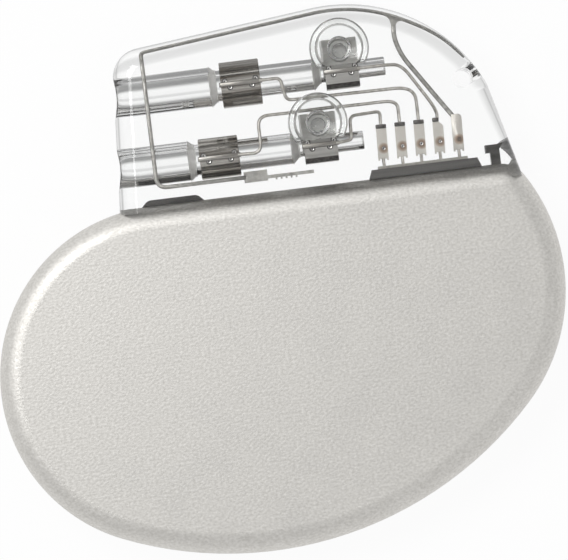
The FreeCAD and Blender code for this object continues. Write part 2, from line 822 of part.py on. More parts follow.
def pin_x(index):
    return d.pin_first_x + index * d.pin_pitch


def prism(name, start, across_flats, length):
    # A bar with the wires' number of sides that stands along Y, a flat side to the front.
    thing = doc.addObject("Part::Prism", name)
    thing.Placement.Rotation = turn_towards["Y"]
    thing.Polygon = int(d.wire_sides)
    bind(thing, "Circumradius", across_flats / 2 / cosine(180 / d.wire_sides))
    bind(thing, "Height", length)
    return place(thing, *start)


pin_length = d.tab_foot_y + d.tab_length / 3 - d.pin_inner_y
pins = [prism(f"pin_{i + 1}", (pin_x(i), d.pin_inner_y, middle_z), d.pin_diameter, pin_length)
        for i in range(int(d.pin_count))]
node(group("feedthrough_pins", pins), "feedthrough_pins")
node(less("feedthrough_insulator", insulator_form, pins), "feedthrough_insulator")
flex_x = pin_x((d.pin_count - 1) / 2) - d.flex_width / 2
flex_y = d.pin_inner_y - d.flex_sheet
flex_plate = block("flex_plate", (flex_x, flex_y, board_top_z),
                   (d.flex_width, d.flex_sheet, middle_z + d.flex_rise - board_top_z))
flex_foot = block("flex_foot", (flex_x, flex_y - d.flex_foot, board_top_z),
                  (d.flex_width, d.flex_foot, d.flex_sheet))
node(joined("feedthrough_flex", [flex_plate, flex_foot]), "feedthrough_flex")

# Terminal tabs: a leaning plate welded to the front of its pin, with a collar for the wire

tab_back_z = middle_z + d.pin_diameter / 2
tab_turn = FreeCAD.Rotation(FreeCAD.Vector(0, 0, 1), -float(d.tab_lean))


def tab_point(index, across, up):
    # A point of a tab's face: across from its middle line and up from its foot.
    sine = tangent(d.tab_lean) * cosine(d.tab_lean)
    return (pin_x(index) + across * cosine(d.tab_lean) + up * sine,
            d.tab_foot_y + up * cosine(d.tab_lean) - across * sine)


def leaning_block(name, index, across, up, lengths, bottom_z):
    x, y = tab_point(index, across, up)
    thing = block(name, (x, y, bottom_z), lengths)
    thing.Placement.Rotation = tab_turn
    bind(thing, "Placement.Rotation.Angle", 360 - d.tab_lean)
    return thing


def tab_plate(name, index, length):
    plate = leaning_block(f"{name}_plate", index, -d.tab_width / 2, zero,
                          (d.tab_width, length, d.tab_thickness), tab_back_z)
    notch = leaning_block(f"{name}_notch", index, d.tab_ear - d.tab_width / 2, zero,
                          (d.tab_width - 2 * d.tab_ear, d.tab_notch, d.tab_thickness), tab_back_z)
    return less(f"{name}_notched", plate, [notch])


tabs = []
for index in range(int(d.pin_count) - 1):
    name = f"terminal_tab_{index + 1}"
    plate = tab_plate(name, index, d.tab_length - d.collar_height)
    collar_z = tab_back_z + (d.tab_thickness - d.collar_thickness) / 2
    collar = leaning_block(f"{name}_collar", index, -d.tab_width / 2, d.tab_length - d.collar_height,
                           (d.tab_width, d.collar_height, d.collar_thickness), collar_z)
    tabs.append(node(joined(name, [plate, collar]), name))

# Antenna: strips of flat stock on rounded routes


def route(points, radius=None):
    # Straight runs joined by tangent arcs. With no radius given, each arc is as large as
    # 0.45 of its shorter run allows.
    spots = [FreeCAD.Vector(*(float(value) for value in spot)) for spot in points]
    edges = []
    start = spots[0]
    for before, spot, after in zip(spots, spots[1:], spots[2:]):
        back = before - spot
        ahead = after - spot
        turn = math.pi - back.getAngle(ahead)
        reach = 0.45 * min(back.Length, ahead.Length)
        if radius is not None:
            reach = min(reach, float(radius) * math.tan(turn / 2))
        back.normalize()
        ahead.normalize()
        first = spot + back * reach
        last = spot + ahead * reach
        bend = reach / math.tan(turn / 2)
        towards = (back + ahead).normalize()
        centre = spot + towards * (bend / math.cos(turn / 2))
        edges.append(Part.LineSegment(start, first).toShape())
        edges.append(Part.Arc(first, centre - towards * bend, last).toShape())
        start = last
    edges.append(Part.LineSegment(start, spots[-1]).toShape())
    return Part.Wire(edges)


def strip(name, points, radius, width, bottom_z, thickness):
    # Flat stock of one width along a route in the XY plane.
    flat_points = [(x, y, bottom_z) for x, y in points]
    line = route(flat_points, radius)
    face = line.makeOffset2D(float(width) / 2, join=2, fill=True, openResult=False)
    thing = doc.addObject("Part::Feature", name)
    thing.Shape = face.extrude(FreeCAD.Vector(0, 0, float(thickness)))
    return thing


def crown_band(name, bottom_z):
    # The flat band: parallel to the header's top line and crown, and then cut at both ends.
    outer = d.header_crown_radius - d.antenna_depth
    slope = math.radians(d.header_top_slope)
    meeting = math.pi / 2 + slope
    centre = point(d.header_crown_x, d.header_crown_y)
    stop = math.radians(90 - d.antenna_right_angle)
    rows = []
    for radius in (float(outer), float(outer - d.antenna_width)):
        top = centre + radius * FreeCAD.Vector(math.cos(meeting), math.sin(meeting), 0)
        drop = (top.x - float(d.antenna_left_x)) * math.tan(slope)
        left = FreeCAD.Vector(float(d.antenna_left_x), top.y - drop, 0)
        bow = arc(centre, radius, stop, meeting)
        rows.append((left, top, bow))
    (left, top, bow), (low_left, low_top, low_bow) = rows
    edges = [
        Part.LineSegment(left, top).toShape(),
        bow.toShape(),
        Part.LineSegment(bow.StartPoint, low_bow.StartPoint).toShape(),
        low_bow.toShape(),
        Part.LineSegment(low_top, low_left).toShape(),
        Part.LineSegment(low_left, left).toShape(),
    ]
    wire = Part.Wire(Part.__sortEdges__(edges))
    face = Part.Face(wire)
    face.translate(FreeCAD.Vector(0, 0, float(bottom_z)))
    thing = doc.addObject("Part::Feature", name)
    thing.Shape = face.extrude(FreeCAD.Vector(0, 0, float(d.antenna_sheet)))
    return thing, left


def sloping_leg(name, points, top_z):
    # The leg that runs down from the band to its terminal: seen from the front it follows
    # the points, and seen from its side it slopes back from the band's plane to the plate's.
    low_z, high_z = float(tab_back_z), float(top_z + d.antenna_sheet)
    plan = strip(f"{name}_plan", points, 1.5, d.antenna_width, low_z, high_z - low_z)
    plan.Visibility = False
    start, end = (FreeCAD.Vector(float(x), float(y), 0) for x, y in (points[0], points[-1]))
    along = (end - start).normalize()
    across = along.cross(FreeCAD.Vector(0, 0, 1))
    reach = (end - start).Length
    profile = [
        (-reach, high_z - float(d.antenna_sheet)),
        (d.antenna_slope_start, high_z - float(d.antenna_sheet)),
        (d.antenna_slope_end, low_z),
        (2 * reach, low_z),
        (2 * reach, low_z + float(d.tab_thickness)),
        (d.antenna_slope_end, low_z + float(d.tab_thickness)),
        (d.antenna_slope_start, high_z),
        (-reach, high_z),
    ]
    corners = []
    for distance, z in profile:
        corner = start + along * float(distance) - across * reach
        corner.z = z
        corners.append(corner)
    side = Part.Face(Part.makePolygon(corners + corners[:1])).extrude(across * (2 * reach))
    thing = doc.addObject("Part::Feature", name)
    thing.Shape = plan.Shape.common(side)
    return thing


def antenna():
    front_z = middle_z + d.antenna_front
    band, left_end = crown_band("antenna_crown", front_z)
    leg_x = d.antenna_left_x + d.antenna_width / 2
    leg = strip("antenna_leg", [
        (leg_x, left_end.y - float(d.antenna_width) / 2),
        (leg_x, float(d.antenna_foot_y)),
        (float(d.anchor_plate_x), float(d.antenna_foot_y)),
    ], 0.9, d.antenna_width, front_z, d.antenna_sheet)
    last = int(d.pin_count) - 1
    plate_length = d.tab_length - d.collar_height
    plate = tab_plate("antenna_tab", last, plate_length)
    plate_top = tab_point(last, zero, plate_length)
    out = float(d.header_crown_radius - d.antenna_depth - d.antenna_width / 2)
    across = float(d.antenna_branch_x - d.header_crown_x)
    branch_y = float(d.header_crown_y) + math.sqrt(out ** 2 - across ** 2)
    diagonal = sloping_leg("antenna_diagonal", [
        (d.antenna_branch_x, branch_y),
        (d.antenna_branch_x + 0.1, branch_y - 2.3),
        (d.antenna_branch_x + 1.1, branch_y - 4.5),
        (plate_top[0] - 0.2, plate_top[1] + 0.35),
        (plate_top[0], plate_top[1] - 0.2),
    ], front_z)
    return node(joined("antenna", [band, leg, plate, diagonal]), "antenna")


antenna_piece = antenna()

# Antenna anchor: a folded plate notched for the antenna's foot, with a barbed tail


def antenna_anchor():
    front_z = middle_z + d.antenna_front
    low_y = d.antenna_foot_y - d.anchor_plate_height / 2
    plate = block("anchor_plate", (d.anchor_plate_x, low_y, front_z),
                  (d.anchor_plate_length, d.anchor_plate_height, d.antenna_sheet))
    fold = block("anchor_fold", (d.anchor_plate_x, low_y, front_z - d.anchor_fold),
                 (d.anchor_plate_length, d.antenna_sheet, d.anchor_fold))
    tail_x = d.anchor_plate_x + d.anchor_plate_length
    tail_y = low_y + d.antenna_sheet
    tail = block("anchor_tail", (tail_x, tail_y, front_z),
                 (d.anchor_tail, d.anchor_tail_width, d.antenna_sheet))
    barbs = []
    barb_lengths = (d.anchor_barb_size, d.anchor_tail_width + d.anchor_barb_size, d.antenna_sheet)
    for index in range(int(d.anchor_barbs)):
        barb_x = tail_x + (index + 1.5) * d.anchor_barb_pitch
        barb_corner = (barb_x, tail_y - d.anchor_barb_size, front_z)
        barbs.append(block(f"anchor_barb_{index + 1}", barb_corner, barb_lengths))
    form = joined("anchor_form", [plate, fold, tail] + barbs)
    return node(less("antenna_anchor", form, [antenna_piece]), "antenna_anchor")


anchor_piece = antenna_anchor()

# Wires: each starts as a flattened end welded across its block and ends in its tab's collar


def wire(name, ribbon_corner, ribbon_length, points):
    ribbon = block(f"{name}_ribbon", ribbon_corner, (ribbon_length, d.ribbon_height, d.ribbon_thickness))
    path = doc.addObject("Part::Feature", f"{name}_route")
    path.Shape = route(points)
    path.Visibility = False
    start, ahead = (FreeCAD.Vector(*(float(value) for value in spot)) for spot in points[:2])
    section = doc.addObject("Part::RegularPolygon", f"{name}_section")
    facing = FreeCAD.Rotation(FreeCAD.Vector(0, 0, 1), ahead - start)
    section.Placement = FreeCAD.Placement(start, facing)
    section.Polygon = int(d.wire_sides)
    bind(section, "Circumradius", d.wire_diameter / 2 / cosine(180 / d.wire_sides))
    tube = doc.addObject("Part::Sweep", f"{name}_tube")
    tube.Sections = [section]
    tube.Spine = (path, [f"Edge{i + 1}" for i in range(len(path.Shape.Edges))])
    tube.Solid = True
    tube.Frenet = False
    return node(joined(name, [ribbon, tube]), name)


# Middle points of each wire, from its block to its terminal
wire_bends = {
    "ring_upper": [(1.95, 17.6, 4.95), (2.65, 16.6, 4.9), (3.1, 15.65, 4.9), (4.4, 15.62, 4.7),
                   (12.1, 15.66, 3.5), (13.75, 14.6, 3.3)],
    "tip_upper": [(11.5, 17.72, 4.9), (13.1, 16.95, 4.4), (14.5, 15.0, 3.7)],
    "ring_lower": [(-0.75, 11.35, 4.95), (-0.05, 12.1, 4.95), (0.0, 13.6, 4.95), (0.85, 14.6, 4.95),
                   (4.4, 14.62, 4.95), (11.2, 14.64, 3.4), (12.2, 13.9, 3.25)],
    "tip_lower": [(7.75, 11.8, 4.9), (8.1, 12.6, 4.6), (8.45, 13.5, 4.1), (9.6, 13.6, 3.6),
                  (10.75, 13.5, 3.25)],
}
wire_terminals = {"tip_lower": 0, "ring_lower": 1, "ring_upper": 2, "tip_upper": 3}


def block_wire(kind, side, block_x, axis_y, face_z, block_length):
    # The wire of one block: its welded end lies on the block's front face.
    end = f"{kind}_{side}"
    ribbon_length = block_length + 2 * d.ribbon_stub
    ribbon_corner = (block_x - d.ribbon_stub, axis_y - d.ribbon_height / 2, face_z)
    start = (ribbon_corner[0] + ribbon_length, axis_y, face_z + d.wire_diameter / 2)
    tab = wire_terminals[end]
    collar_z = tab_back_z + d.tab_thickness / 2
    above_tab = tab_point(tab, zero, d.tab_length + d.wire_lead) + (collar_z,)
    tab_top = tab_point(tab, zero, d.tab_length) + (collar_z,)
    points = [start] + wire_bends[end] + [above_tab, tab_top]
    return wire(f"wire_{end}", ribbon_corner, ribbon_length, points)


wire_pieces = []
for side, port in ports.items():
    ring_z = middle_z + port.ring_radius - d.weld_flat_depth
    wire_pieces.append(block_wire("ring", side, port.ring_x, port.axis_y, ring_z, d.ring_block_length))
    tip_x = port.ring_x + d.tip_block_start
    tip_z = middle_z + d.tip_block_front
    wire_pieces.append(block_wire("tip", side, tip_x, port.axis_y, tip_z, d.tip_block_length))

# Brackets welded to the can's top edge, which the header is cast around


def bracket(name, outline):
    body = new_body(name)
    sketch = new_sketch(body, f"{name}_profile", z=middle_z - d.bracket_width / 2)
    polygon(sketch, outline)
    pad(body, sketch, f"{name}_pad", d.bracket_width)
    return node(body, name)


left_slant = (d.left_bracket_foot - d.left_bracket_top) / 2
left_end_x = d.left_bracket_x + d.left_bracket_foot
left_top_y = d.can_top_y + d.left_bracket_height
left_bracket = bracket("anchor_bracket_left", [
    (d.left_bracket_x, d.can_top_y),
    (left_end_x, d.can_top_y),
    (left_end_x - left_slant, left_top_y),
    (d.left_bracket_x + left_slant, left_top_y),
])
right_end_x = d.right_bracket_x + d.right_bracket_head
right_top_y = d.can_top_y + d.right_bracket_height
right_head_y = right_top_y - d.right_bracket_head_height
right_bracket = bracket("anchor_bracket_right", [
    (right_end_x - d.right_bracket_neck, d.can_top_y),
    (right_end_x, d.can_top_y),
    (right_end_x, right_top_y),
    (d.right_bracket_x, right_top_y),
    (d.right_bracket_x, right_head_y),
    (right_end_x - d.right_bracket_neck, right_head_y),
])

# Header: a clear casting, rounded all round its front view, cast over everything that it holds


def header_outline(sketch):
    lean, slope, right_lean = (math.radians(angle) for angle in
                               (d.header_left_lean, d.header_top_slope, d.header_right_lean))
    foot = point(d.header_left_x, header_bottom_y)
    corner = float(d.header_corner_radius)
    crown = point(d.header_crown_x, d.header_crown_y)
    crown_radius = float(d.header_crown_radius)
    shoulder = float(d.header_shoulder_radius)
    tongue_y = float(d.can_top_y - d.header_tongue_drop)
    right_foot = point(header_right_x, tongue_y)
    top_end = crown + crown_radius * FreeCAD.Vector(-math.sin(slope), math.cos(slope), 0)
    # the corner's centre lies its own radius inside the left face and the top line
    left_in = foot.x + corner / math.cos(lean)
    top_in = top_end.y - top_end.x * math.tan(slope) - corner / math.cos(slope)
    corner_x = (left_in + (top_in - foot.y) * math.tan(lean)) / (1 - math.tan(slope) * math.tan(lean))
    corner_centre = point(corner_x, top_in + corner_x * math.tan(slope))
    # the shoulder's centre lies its own radius inside the crown and the right face
    fall = math.tan(right_lean)
    reach = right_foot.x - shoulder / math.cos(right_lean) - crown.x
    drop = crown.y - right_foot.y
    base = reach - fall * drop
    a, b, c = 1 + fall ** 2, -2 * base * fall, base ** 2 - (crown_radius - shoulder) ** 2
    rise = (-b + math.sqrt(b ** 2 - 4 * a * c)) / (2 * a)
    shoulder_centre = point(crown.x + base - fall * rise, crown.y + rise)
    shoulder_angle = angle_between(crown, shoulder_centre)
    left_touch = corner_centre + point(-corner * math.cos(lean), corner * math.sin(lean))
    top_touch = corner_centre + point(-corner * math.sin(slope), corner * math.cos(slope))
    right_touch = shoulder_centre + point(shoulder * math.cos(right_lean), shoulder * math.sin(right_lean))
    tongue_end = point(header_right_x - d.header_tongue_width, tongue_y)
    tongue_start = point(header_right_x - d.header_tongue_length, header_bottom_y)
    sketch.addGeometry(Part.LineSegment(foot, left_touch))
    sketch.addGeometry(arc(corner_centre, corner, math.pi / 2 + slope, math.pi - lean))
    sketch.addGeometry(Part.LineSegment(top_touch, top_end))
    sketch.addGeometry(arc(crown, crown_radius, shoulder_angle, math.pi / 2 + slope))
    sketch.addGeometry(arc(shoulder_centre, shoulder, right_lean, shoulder_angle))
    for start, end in ((right_touch, right_foot), (right_foot, tongue_end), (tongue_end, tongue_start),
                       (tongue_start, foot)):
        sketch.addGeometry(Part.LineSegment(start, end))
    for joint in ((0, 2, 1, 2), (1, 1, 2, 1), (2, 2, 3, 2), (3, 1, 4, 2), (4, 1, 5, 1)):
        sketch.addConstraint(Sketcher.Constraint("Tangent", *joint))
    for joint in ((5, 2, 6, 1), (6, 2, 7, 1), (7, 2, 8, 1), (8, 2, 0, 1)):
        sketch.addConstraint(Sketcher.Constraint("Coincident", *joint))
    for edge in (6, 8):
        sketch.addConstraint(Sketcher.Constraint("Horizontal", edge))
    fix_point(sketch, 0, 1, d.header_left_x, header_bottom_y)
    fix(sketch, "Angle", (0,), 90 - d.header_left_lean)
    fix(sketch, "Radius", (1,), d.header_corner_radius)
    fix(sketch, "Angle", (2,), d.header_top_slope)
    fix_point(sketch, 3, 3, d.header_crown_x, d.header_crown_y)
    fix(sketch, "Radius", (3,), d.header_crown_radius)
    fix(sketch, "Radius", (4,), d.header_shoulder_radius)
    fix_point(sketch, 5, 2, header_right_x, d.can_top_y - d.header_tongue_drop)
    fix(sketch, "Angle", (5,), d.header_right_lean - 90)
    fix(sketch, "DistanceX", (-1, 1, 6, 2), header_right_x - d.header_tongue_width)
    fix(sketch, "DistanceX", (-1, 1, 7, 2), header_right_x - d.header_tongue_length)


header_form = new_body("header_form")
header_sketch = new_sketch(header_form, "header_outline", z=d.header_inset)
header_outline(header_sketch)
header_pad = pad(header_form, header_sketch, "header_pad", d.can_thickness - 2 * d.header_inset)


def is_header_rim(edge):
    middle = edge.valueAt((edge.FirstParameter + edge.LastParameter) / 2)
    return lies_flat(edge) and middle.y > d.can_top_y


round_edges(header_form, header_pad, "header_edges", d.header_edge_radius, is_header_rim)
suture_hole = rod("suture_hole", (d.suture_x, d.suture_y, zero), d.suture_radius, d.can_thickness)
septa = [item for item in nodes if item.Label.startswith("septum")]
held = bore_forms + block_forms + septa + tabs + wire_pieces + pins
held += [antenna_piece, anchor_piece, left_bracket, right_bracket, flange_solid, insulator_form]
node(less("header_body", header_form, [can_form, suture_hole] + held), "header_body")

doc.recompute()
faults = [item.Label for item in doc.Objects if "Invalid" in item.State or "Error" in item.State]
for item in nodes:
    if item.Shape.isNull() or not item.Shape.isValid():
        faults.append(item.Label)
if faults:
    raise RuntimeError("these did not build: " + ", ".join(faults))
os.makedirs("parts", exist_ok=True)
for item in nodes:
    item.Shape.exportStep(f"parts/{item.Label}.step")
    print(item.Label, len(item.Shape.Solids), round(item.Shape.Volume, 3))
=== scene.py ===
import json
import math

import bmesh
import bpy
from mathutils import Matrix, Vector

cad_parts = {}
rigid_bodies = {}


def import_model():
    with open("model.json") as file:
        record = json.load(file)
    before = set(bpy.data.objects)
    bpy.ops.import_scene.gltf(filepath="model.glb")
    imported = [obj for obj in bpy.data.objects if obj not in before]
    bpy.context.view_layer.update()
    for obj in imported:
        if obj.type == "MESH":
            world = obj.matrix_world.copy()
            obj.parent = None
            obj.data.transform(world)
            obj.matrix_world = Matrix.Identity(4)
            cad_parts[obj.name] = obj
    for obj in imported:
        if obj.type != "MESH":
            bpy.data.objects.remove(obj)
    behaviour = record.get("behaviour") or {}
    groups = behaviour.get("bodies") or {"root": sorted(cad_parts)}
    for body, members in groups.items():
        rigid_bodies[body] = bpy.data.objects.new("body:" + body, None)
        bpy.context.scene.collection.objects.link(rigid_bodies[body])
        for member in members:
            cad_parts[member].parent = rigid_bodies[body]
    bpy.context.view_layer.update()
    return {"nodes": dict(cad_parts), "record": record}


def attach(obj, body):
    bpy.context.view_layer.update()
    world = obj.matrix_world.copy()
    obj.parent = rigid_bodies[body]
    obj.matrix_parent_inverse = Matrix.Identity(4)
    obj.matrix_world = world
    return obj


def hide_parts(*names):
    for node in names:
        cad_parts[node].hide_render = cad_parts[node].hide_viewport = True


# A dual-chamber pacemaker on a pale floor, seen from straight above.
# Everything is modelled in millimetres, in the CAD frame, and scaled to metres when it is finished.

mm = 0.001
middleZ = 3.0
quarterTurn = math.pi / 2
tiny = 1e-4  # points nearer than this count as one

for leftover in list(bpy.data.objects):
    bpy.data.objects.remove(leftover)
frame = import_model()
print("frame loaded:", len(frame["nodes"]), "nodes")


# Helpers for meshes

def spinAbout(bm, geometry, centre, axis, degrees, steps, merge=False):
    made = bmesh.ops.spin(bm, geom=geometry, cent=centre, axis=axis, dvec=(0, 0, 0),
            angle=math.radians(degrees), steps=steps, use_merge=merge)
    return made["geom_last"]


def lineTo(bm, vert, x, y):
    end = bmesh.ops.extrude_vert_indiv(bm, verts=[vert])["verts"][0]
    end.co = (x, y, vert.co.z)
    return end


def arcAbout(bm, vert, centre, degrees, steps):
    # anticlockwise, about an upright axis
    last = spinAbout(bm, [vert], (centre[0], centre[1], vert.co.z), (0, 0, 1), degrees, steps)
    return next(item for item in last if isinstance(item, bmesh.types.BMVert))


def closeOutline(bm):
    bmesh.ops.remove_doubles(bm, verts=bm.verts[:], dist=tiny)
    return bmesh.ops.contextual_create(bm, geom=bm.edges[:])["faces"][0]


def faceOutwards(bm):
    bmesh.ops.recalc_face_normals(bm, faces=bm.faces[:])


def raiseFace(bm, face, height):
    made = bmesh.ops.extrude_face_region(bm, geom=[face])["geom"]
    verts = [item for item in made if isinstance(item, bmesh.types.BMVert)]
    bmesh.ops.translate(bm, verts=verts, vec=(0, 0, height))
    faceOutwards(bm)


def bevelEdges(bm, edges, offset, segments):
    bmesh.ops.bevel(bm, geom=edges, offset=offset, offset_type="OFFSET", segments=segments,
            profile=0.5, affect="EDGES", material=-1, clamp_overlap=False)


def sharpEdges(bm, degrees=30):
    return [edge for edge in bm.edges if len(edge.link_faces) == 2
            and edge.calc_face_angle() > math.radians(degrees)]


def edgesWhere(bm, holds):
    # the edges whose two ends both pass a test
    return [edge for edge in bm.edges if all(holds(vert.co) for vert in edge.verts)]


def outlineSolid(points, lowZ, highZ):
    # an upright prism over straight runs
    bm = bmesh.new()
    vert = bm.verts.new((points[0][0], points[0][1], lowZ))
    for x, y in points[1:]:
        vert = lineTo(bm, vert, x, y)
    lineTo(bm, vert, *points[0])
    raiseFace(bm, closeOutline(bm), highZ - lowZ)
    return bm


def turned(profile, start, direction, steps=64):
    # a profile of (distance along, radius) spun about a line through start
    bm = bmesh.new()
    vert = bm.verts.new((profile[0][1], 0, profile[0][0]))
    for along, radius in profile[1:]:
        vert = bmesh.ops.extrude_vert_indiv(bm, verts=[vert])["verts"][0]
        vert.co = (radius, 0, along)
    spinAbout(bm, bm.verts[:] + bm.edges[:], (0, 0, 0), (0, 0, 1), 360, steps, merge=True)
    bmesh.ops.remove_doubles(bm, verts=bm.verts[:], dist=tiny)
    faceOutwards(bm)
    facing = Vector((0, 0, 1)).rotation_difference(Vector(direction)).to_matrix().to_4x4()
    bmesh.ops.transform(bm, matrix=Matrix.Translation(start) @ facing, verts=bm.verts[:])
    return bm


def rod(start, end, radius, place, direction, steps):
    # a plain round bar between two distances from a place
    return turned([(start, 0), (start, radius), (end, radius), (end, 0)], place, direction, steps)


def cutFlat(bm, place, outward):
    # takes off what lies past a plane and closes the cut
    bmesh.ops.bisect_plane(bm, geom=bm.verts[:] + bm.edges[:] + bm.faces[:], plane_co=place,
            plane_no=outward, clear_outer=True)
    bmesh.ops.holes_fill(bm, edges=[edge for edge in bm.edges if edge.is_boundary])


def takeMesh(bm, mesh):
    # adds a mesh to a bmesh, and drops it
    bm.from_mesh(mesh)
    bpy.data.meshes.remove(mesh)
    return bm


def addTo(bm, other, materialIndex=0):
    # moves the faces of another bmesh into this one
    for face in other.faces:
        face.material_index = materialIndex
    mesh = bpy.data.meshes.new("part")
    other.to_mesh(mesh)
    other.free()
    takeMesh(bm, mesh)


def looseObject(name, bm):
    mesh = bpy.data.meshes.new(name)
    bm.to_mesh(mesh)
    bm.free()
    thing = bpy.data.objects.new(name, mesh)
    bpy.context.scene.collection.objects.link(thing)
    return thing


def cutAway(bm, tools):
    # subtracts each tool, a bmesh, and gives back a new bmesh
    base = looseObject("base", bm)
    cutters = [looseObject("cutter", tool) for tool in tools]
    for cutter in cutters:
        cut = base.modifiers.new("cut", "BOOLEAN")
        cut.operation = "DIFFERENCE"
        cut.solver = "EXACT"
        cut.object = cutter
    depsgraph = bpy.context.evaluated_depsgraph_get()
    mesh = bpy.data.meshes.new_from_object(base.evaluated_get(depsgraph))
    for thing in [base] + cutters:
        bpy.data.objects.remove(thing)
    return takeMesh(bmesh.new(), mesh)


def roundedLine(points, steps=8, most=0.48):
    # straight runs through points of (x, y, z, reach), each corner rounded over its reach on both
    # sides, which takes up at most this share of a run
    corners = [Vector(point[:3]) for point in points]
    reaches = [point[3] for point in points[1:-1]]
    line = [corners[0]]
    for before, corner, after, reach in zip(corners, corners[1:], corners[2:], reaches):
        into, out = corner - before, after - corner
        near = corner - into.normalized() * min(reach, into.length * most)
        far = corner + out.normalized() * min(reach, out.length * most)
        for step in range(steps + 1):
            t = step / steps
            line.append(near * (1 - t) ** 2 + corner * (2 * t * (1 - t)) + far * t ** 2)
    return line + [corners[-1]]


def tube(points, radius):
    # a round wire along a line of points
    curve = bpy.data.curves.new("tube", "CURVE")
    curve.dimensions = "3D"
    curve.bevel_depth = radius
    curve.bevel_resolution = 5
    curve.use_fill_caps = True
    spline = curve.splines.new("POLY")
    spline.points.add(len(points) - 1)
    for spot, place in zip(spline.points, points):
        spot.co = (*place, 1)
    thing = bpy.data.objects.new("tube", curve)
    mesh = bpy.data.meshes.new_from_object(thing)
    bpy.data.objects.remove(thing)
    return takeMesh(bmesh.new(), mesh)


def flatStrip(stations, thickness, edge=0.02):
    # flat stock through stations of (x, y, top z, width)
    bm = bmesh.new()
    rail = None
    last = len(stations) - 1
    for index, (x, y, z, width) in enumerate(stations):
        before, after = stations[max(index - 1, 0)], stations[min(index + 1, last)]
        ahead = Vector((after[0] - before[0], after[1] - before[1])).normalized()
        side = Vector((-ahead.y, ahead.x, 0)) * width / 2
        ends = (Vector((x, y, z)) + side, Vector((x, y, z)) - side)
        if rail is None:
            verts = [bm.verts.new(end) for end in ends]
            rail = bm.edges.new(verts)
            continue
        made = bmesh.ops.extrude_edge_only(bm, edges=[rail])["geom"]
        rail = next(item for item in made if isinstance(item, bmesh.types.BMEdge))
        nearer = sorted(rail.verts, key=lambda vert: (vert.co - verts[0].co).length)
        for vert, end in zip(nearer, ends):
            vert.co = end
        verts = nearer
    faceOutwards(bm)
    if bm.faces[0].normal.z < 0:
        bmesh.ops.reverse_faces(bm, faces=bm.faces[:])
    bmesh.ops.solidify(bm, geom=bm.faces[:], thickness=thickness)
    faceOutwards(bm)
    bevelEdges(bm, sharpEdges(bm, 50), edge, 1)
    return bm


def finishPiece(name, bm, finishes, replaced=(), smoothBelow=32, evenNormals=True):
    # scales a piece to metres, smooths it, gives it its finishes, hangs it on the root body and hides
    # the CAD nodes that it replaces
    bmesh.ops.transform(bm, matrix=Matrix.Scale(mm, 4), verts=bm.verts[:])
    for face in bm.faces:
        face.smooth = True
    limit = math.radians(smoothBelow)
    for edge in bm.edges:
        edge.smooth = len(edge.link_faces) == 2 and edge.calc_face_angle(0) < limit
    piece = looseObject(name, bm)
    for choice in finishes:
        piece.data.materials.append(finish[choice])
    if evenNormals:
        even = piece.modifiers.new("evenNormals", "WEIGHTED_NORMAL")
        even.keep_sharp = True
    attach(piece, "root")
    if replaced:
        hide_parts(*replaced)


# Helpers for materials

def addNode(tree, kind, **values):
    node = tree.nodes.new("ShaderNode" + kind)
    for name, value in values.items():
        if name in node.inputs:
            node.inputs[name].default_value = value
        else:
            setattr(node, name, value)
    return node


def connect(tree, *pairs):
    for source, target in pairs:
        tree.links.new(source, target)


def surface(name, colour, metallic, roughness, **more):
    # a material and its shader
    material = bpy.data.materials.new(name)
    material.use_nodes = True
    shader = material.node_tree.nodes["Principled BSDF"]
    shader.inputs["Base Color"].default_value = (*colour, 1)
    shader.inputs["Metallic"].default_value = metallic
    shader.inputs["Roughness"].default_value = roughness
    for socket, value in more.items():
        shader.inputs[socket].default_value = value
    return material, material.node_tree, shader


def noiseOn(tree, scale, detail=2, stretch=(1, 1, 1)):
    # noise in object space, per metre, drawn out along an axis by a stretch under 1
    place = addNode(tree, "TexCoord")
    mapping = addNode(tree, "Mapping", Scale=stretch)
    noise = addNode(tree, "TexNoise", Scale=scale, Detail=detail)
    tree.links.new(place.outputs["Object"], mapping.inputs["Vector"])
    tree.links.new(mapping.outputs["Vector"], noise.inputs["Vector"])
    return noise.outputs["Fac"]


def ramp(tree, source, stops):
    node = addNode(tree, "ValToRGB")
    elements = node.color_ramp.elements
    while len(elements) < len(stops):
        elements.new(0.5)
    for element, (position, value) in zip(elements, stops):
        element.position = position
        element.color = (*value, 1) if isinstance(value, tuple) else (value, value, value, 1)
    tree.links.new(source, node.inputs["Fac"])
    return node.outputs["Color"]


def bump(tree, shader, source, strength, distance):
    node = addNode(tree, "Bump", Strength=strength, Distance=distance)
    tree.links.new(source, node.inputs["Height"])
    tree.links.new(node.outputs["Normal"], shader.inputs["Normal"])


def blastedTitanium():
    material, tree, shader = surface("blastedTitanium", (0.62, 0.6, 0.57), 1.0, 0.5)
    grain = noiseOn(tree, 5000, 3, (0.75, 1, 1))
    clouds = noiseOn(tree, 260, 2)
    tone = ramp(tree, grain, [(0.3, (0.6, 0.585, 0.555)), (0.72, (0.76, 0.745, 0.715))])
    tree.links.new(tone, shader.inputs["Base Color"])
    tree.links.new(ramp(tree, clouds, [(0.3, 0.5), (0.7, 0.58)]), shader.inputs["Roughness"])
    bump(tree, shader, grain, 0.55, 0.00004)
    return material


def streakedMetal(name, dark, light, roughness, scale=1700, stretch=(0.03, 1, 1)):
    # drawn or turned metal, whose streaks run along X unless another stretch is given
    material, tree, shader = surface(name, light, 1.0, roughness)
    streaks = noiseOn(tree, scale, 3, stretch)
    tree.links.new(ramp(tree, streaks, [(0.35, dark), (0.65, light)]), shader.inputs["Base Color"])
    tree.links.new(ramp(tree, streaks, [(0.3, roughness * 1.35), (0.7, roughness * 0.75)]),
            shader.inputs["Roughness"])
    bump(tree, shader, streaks, 0.25, 0.00001)
    return material


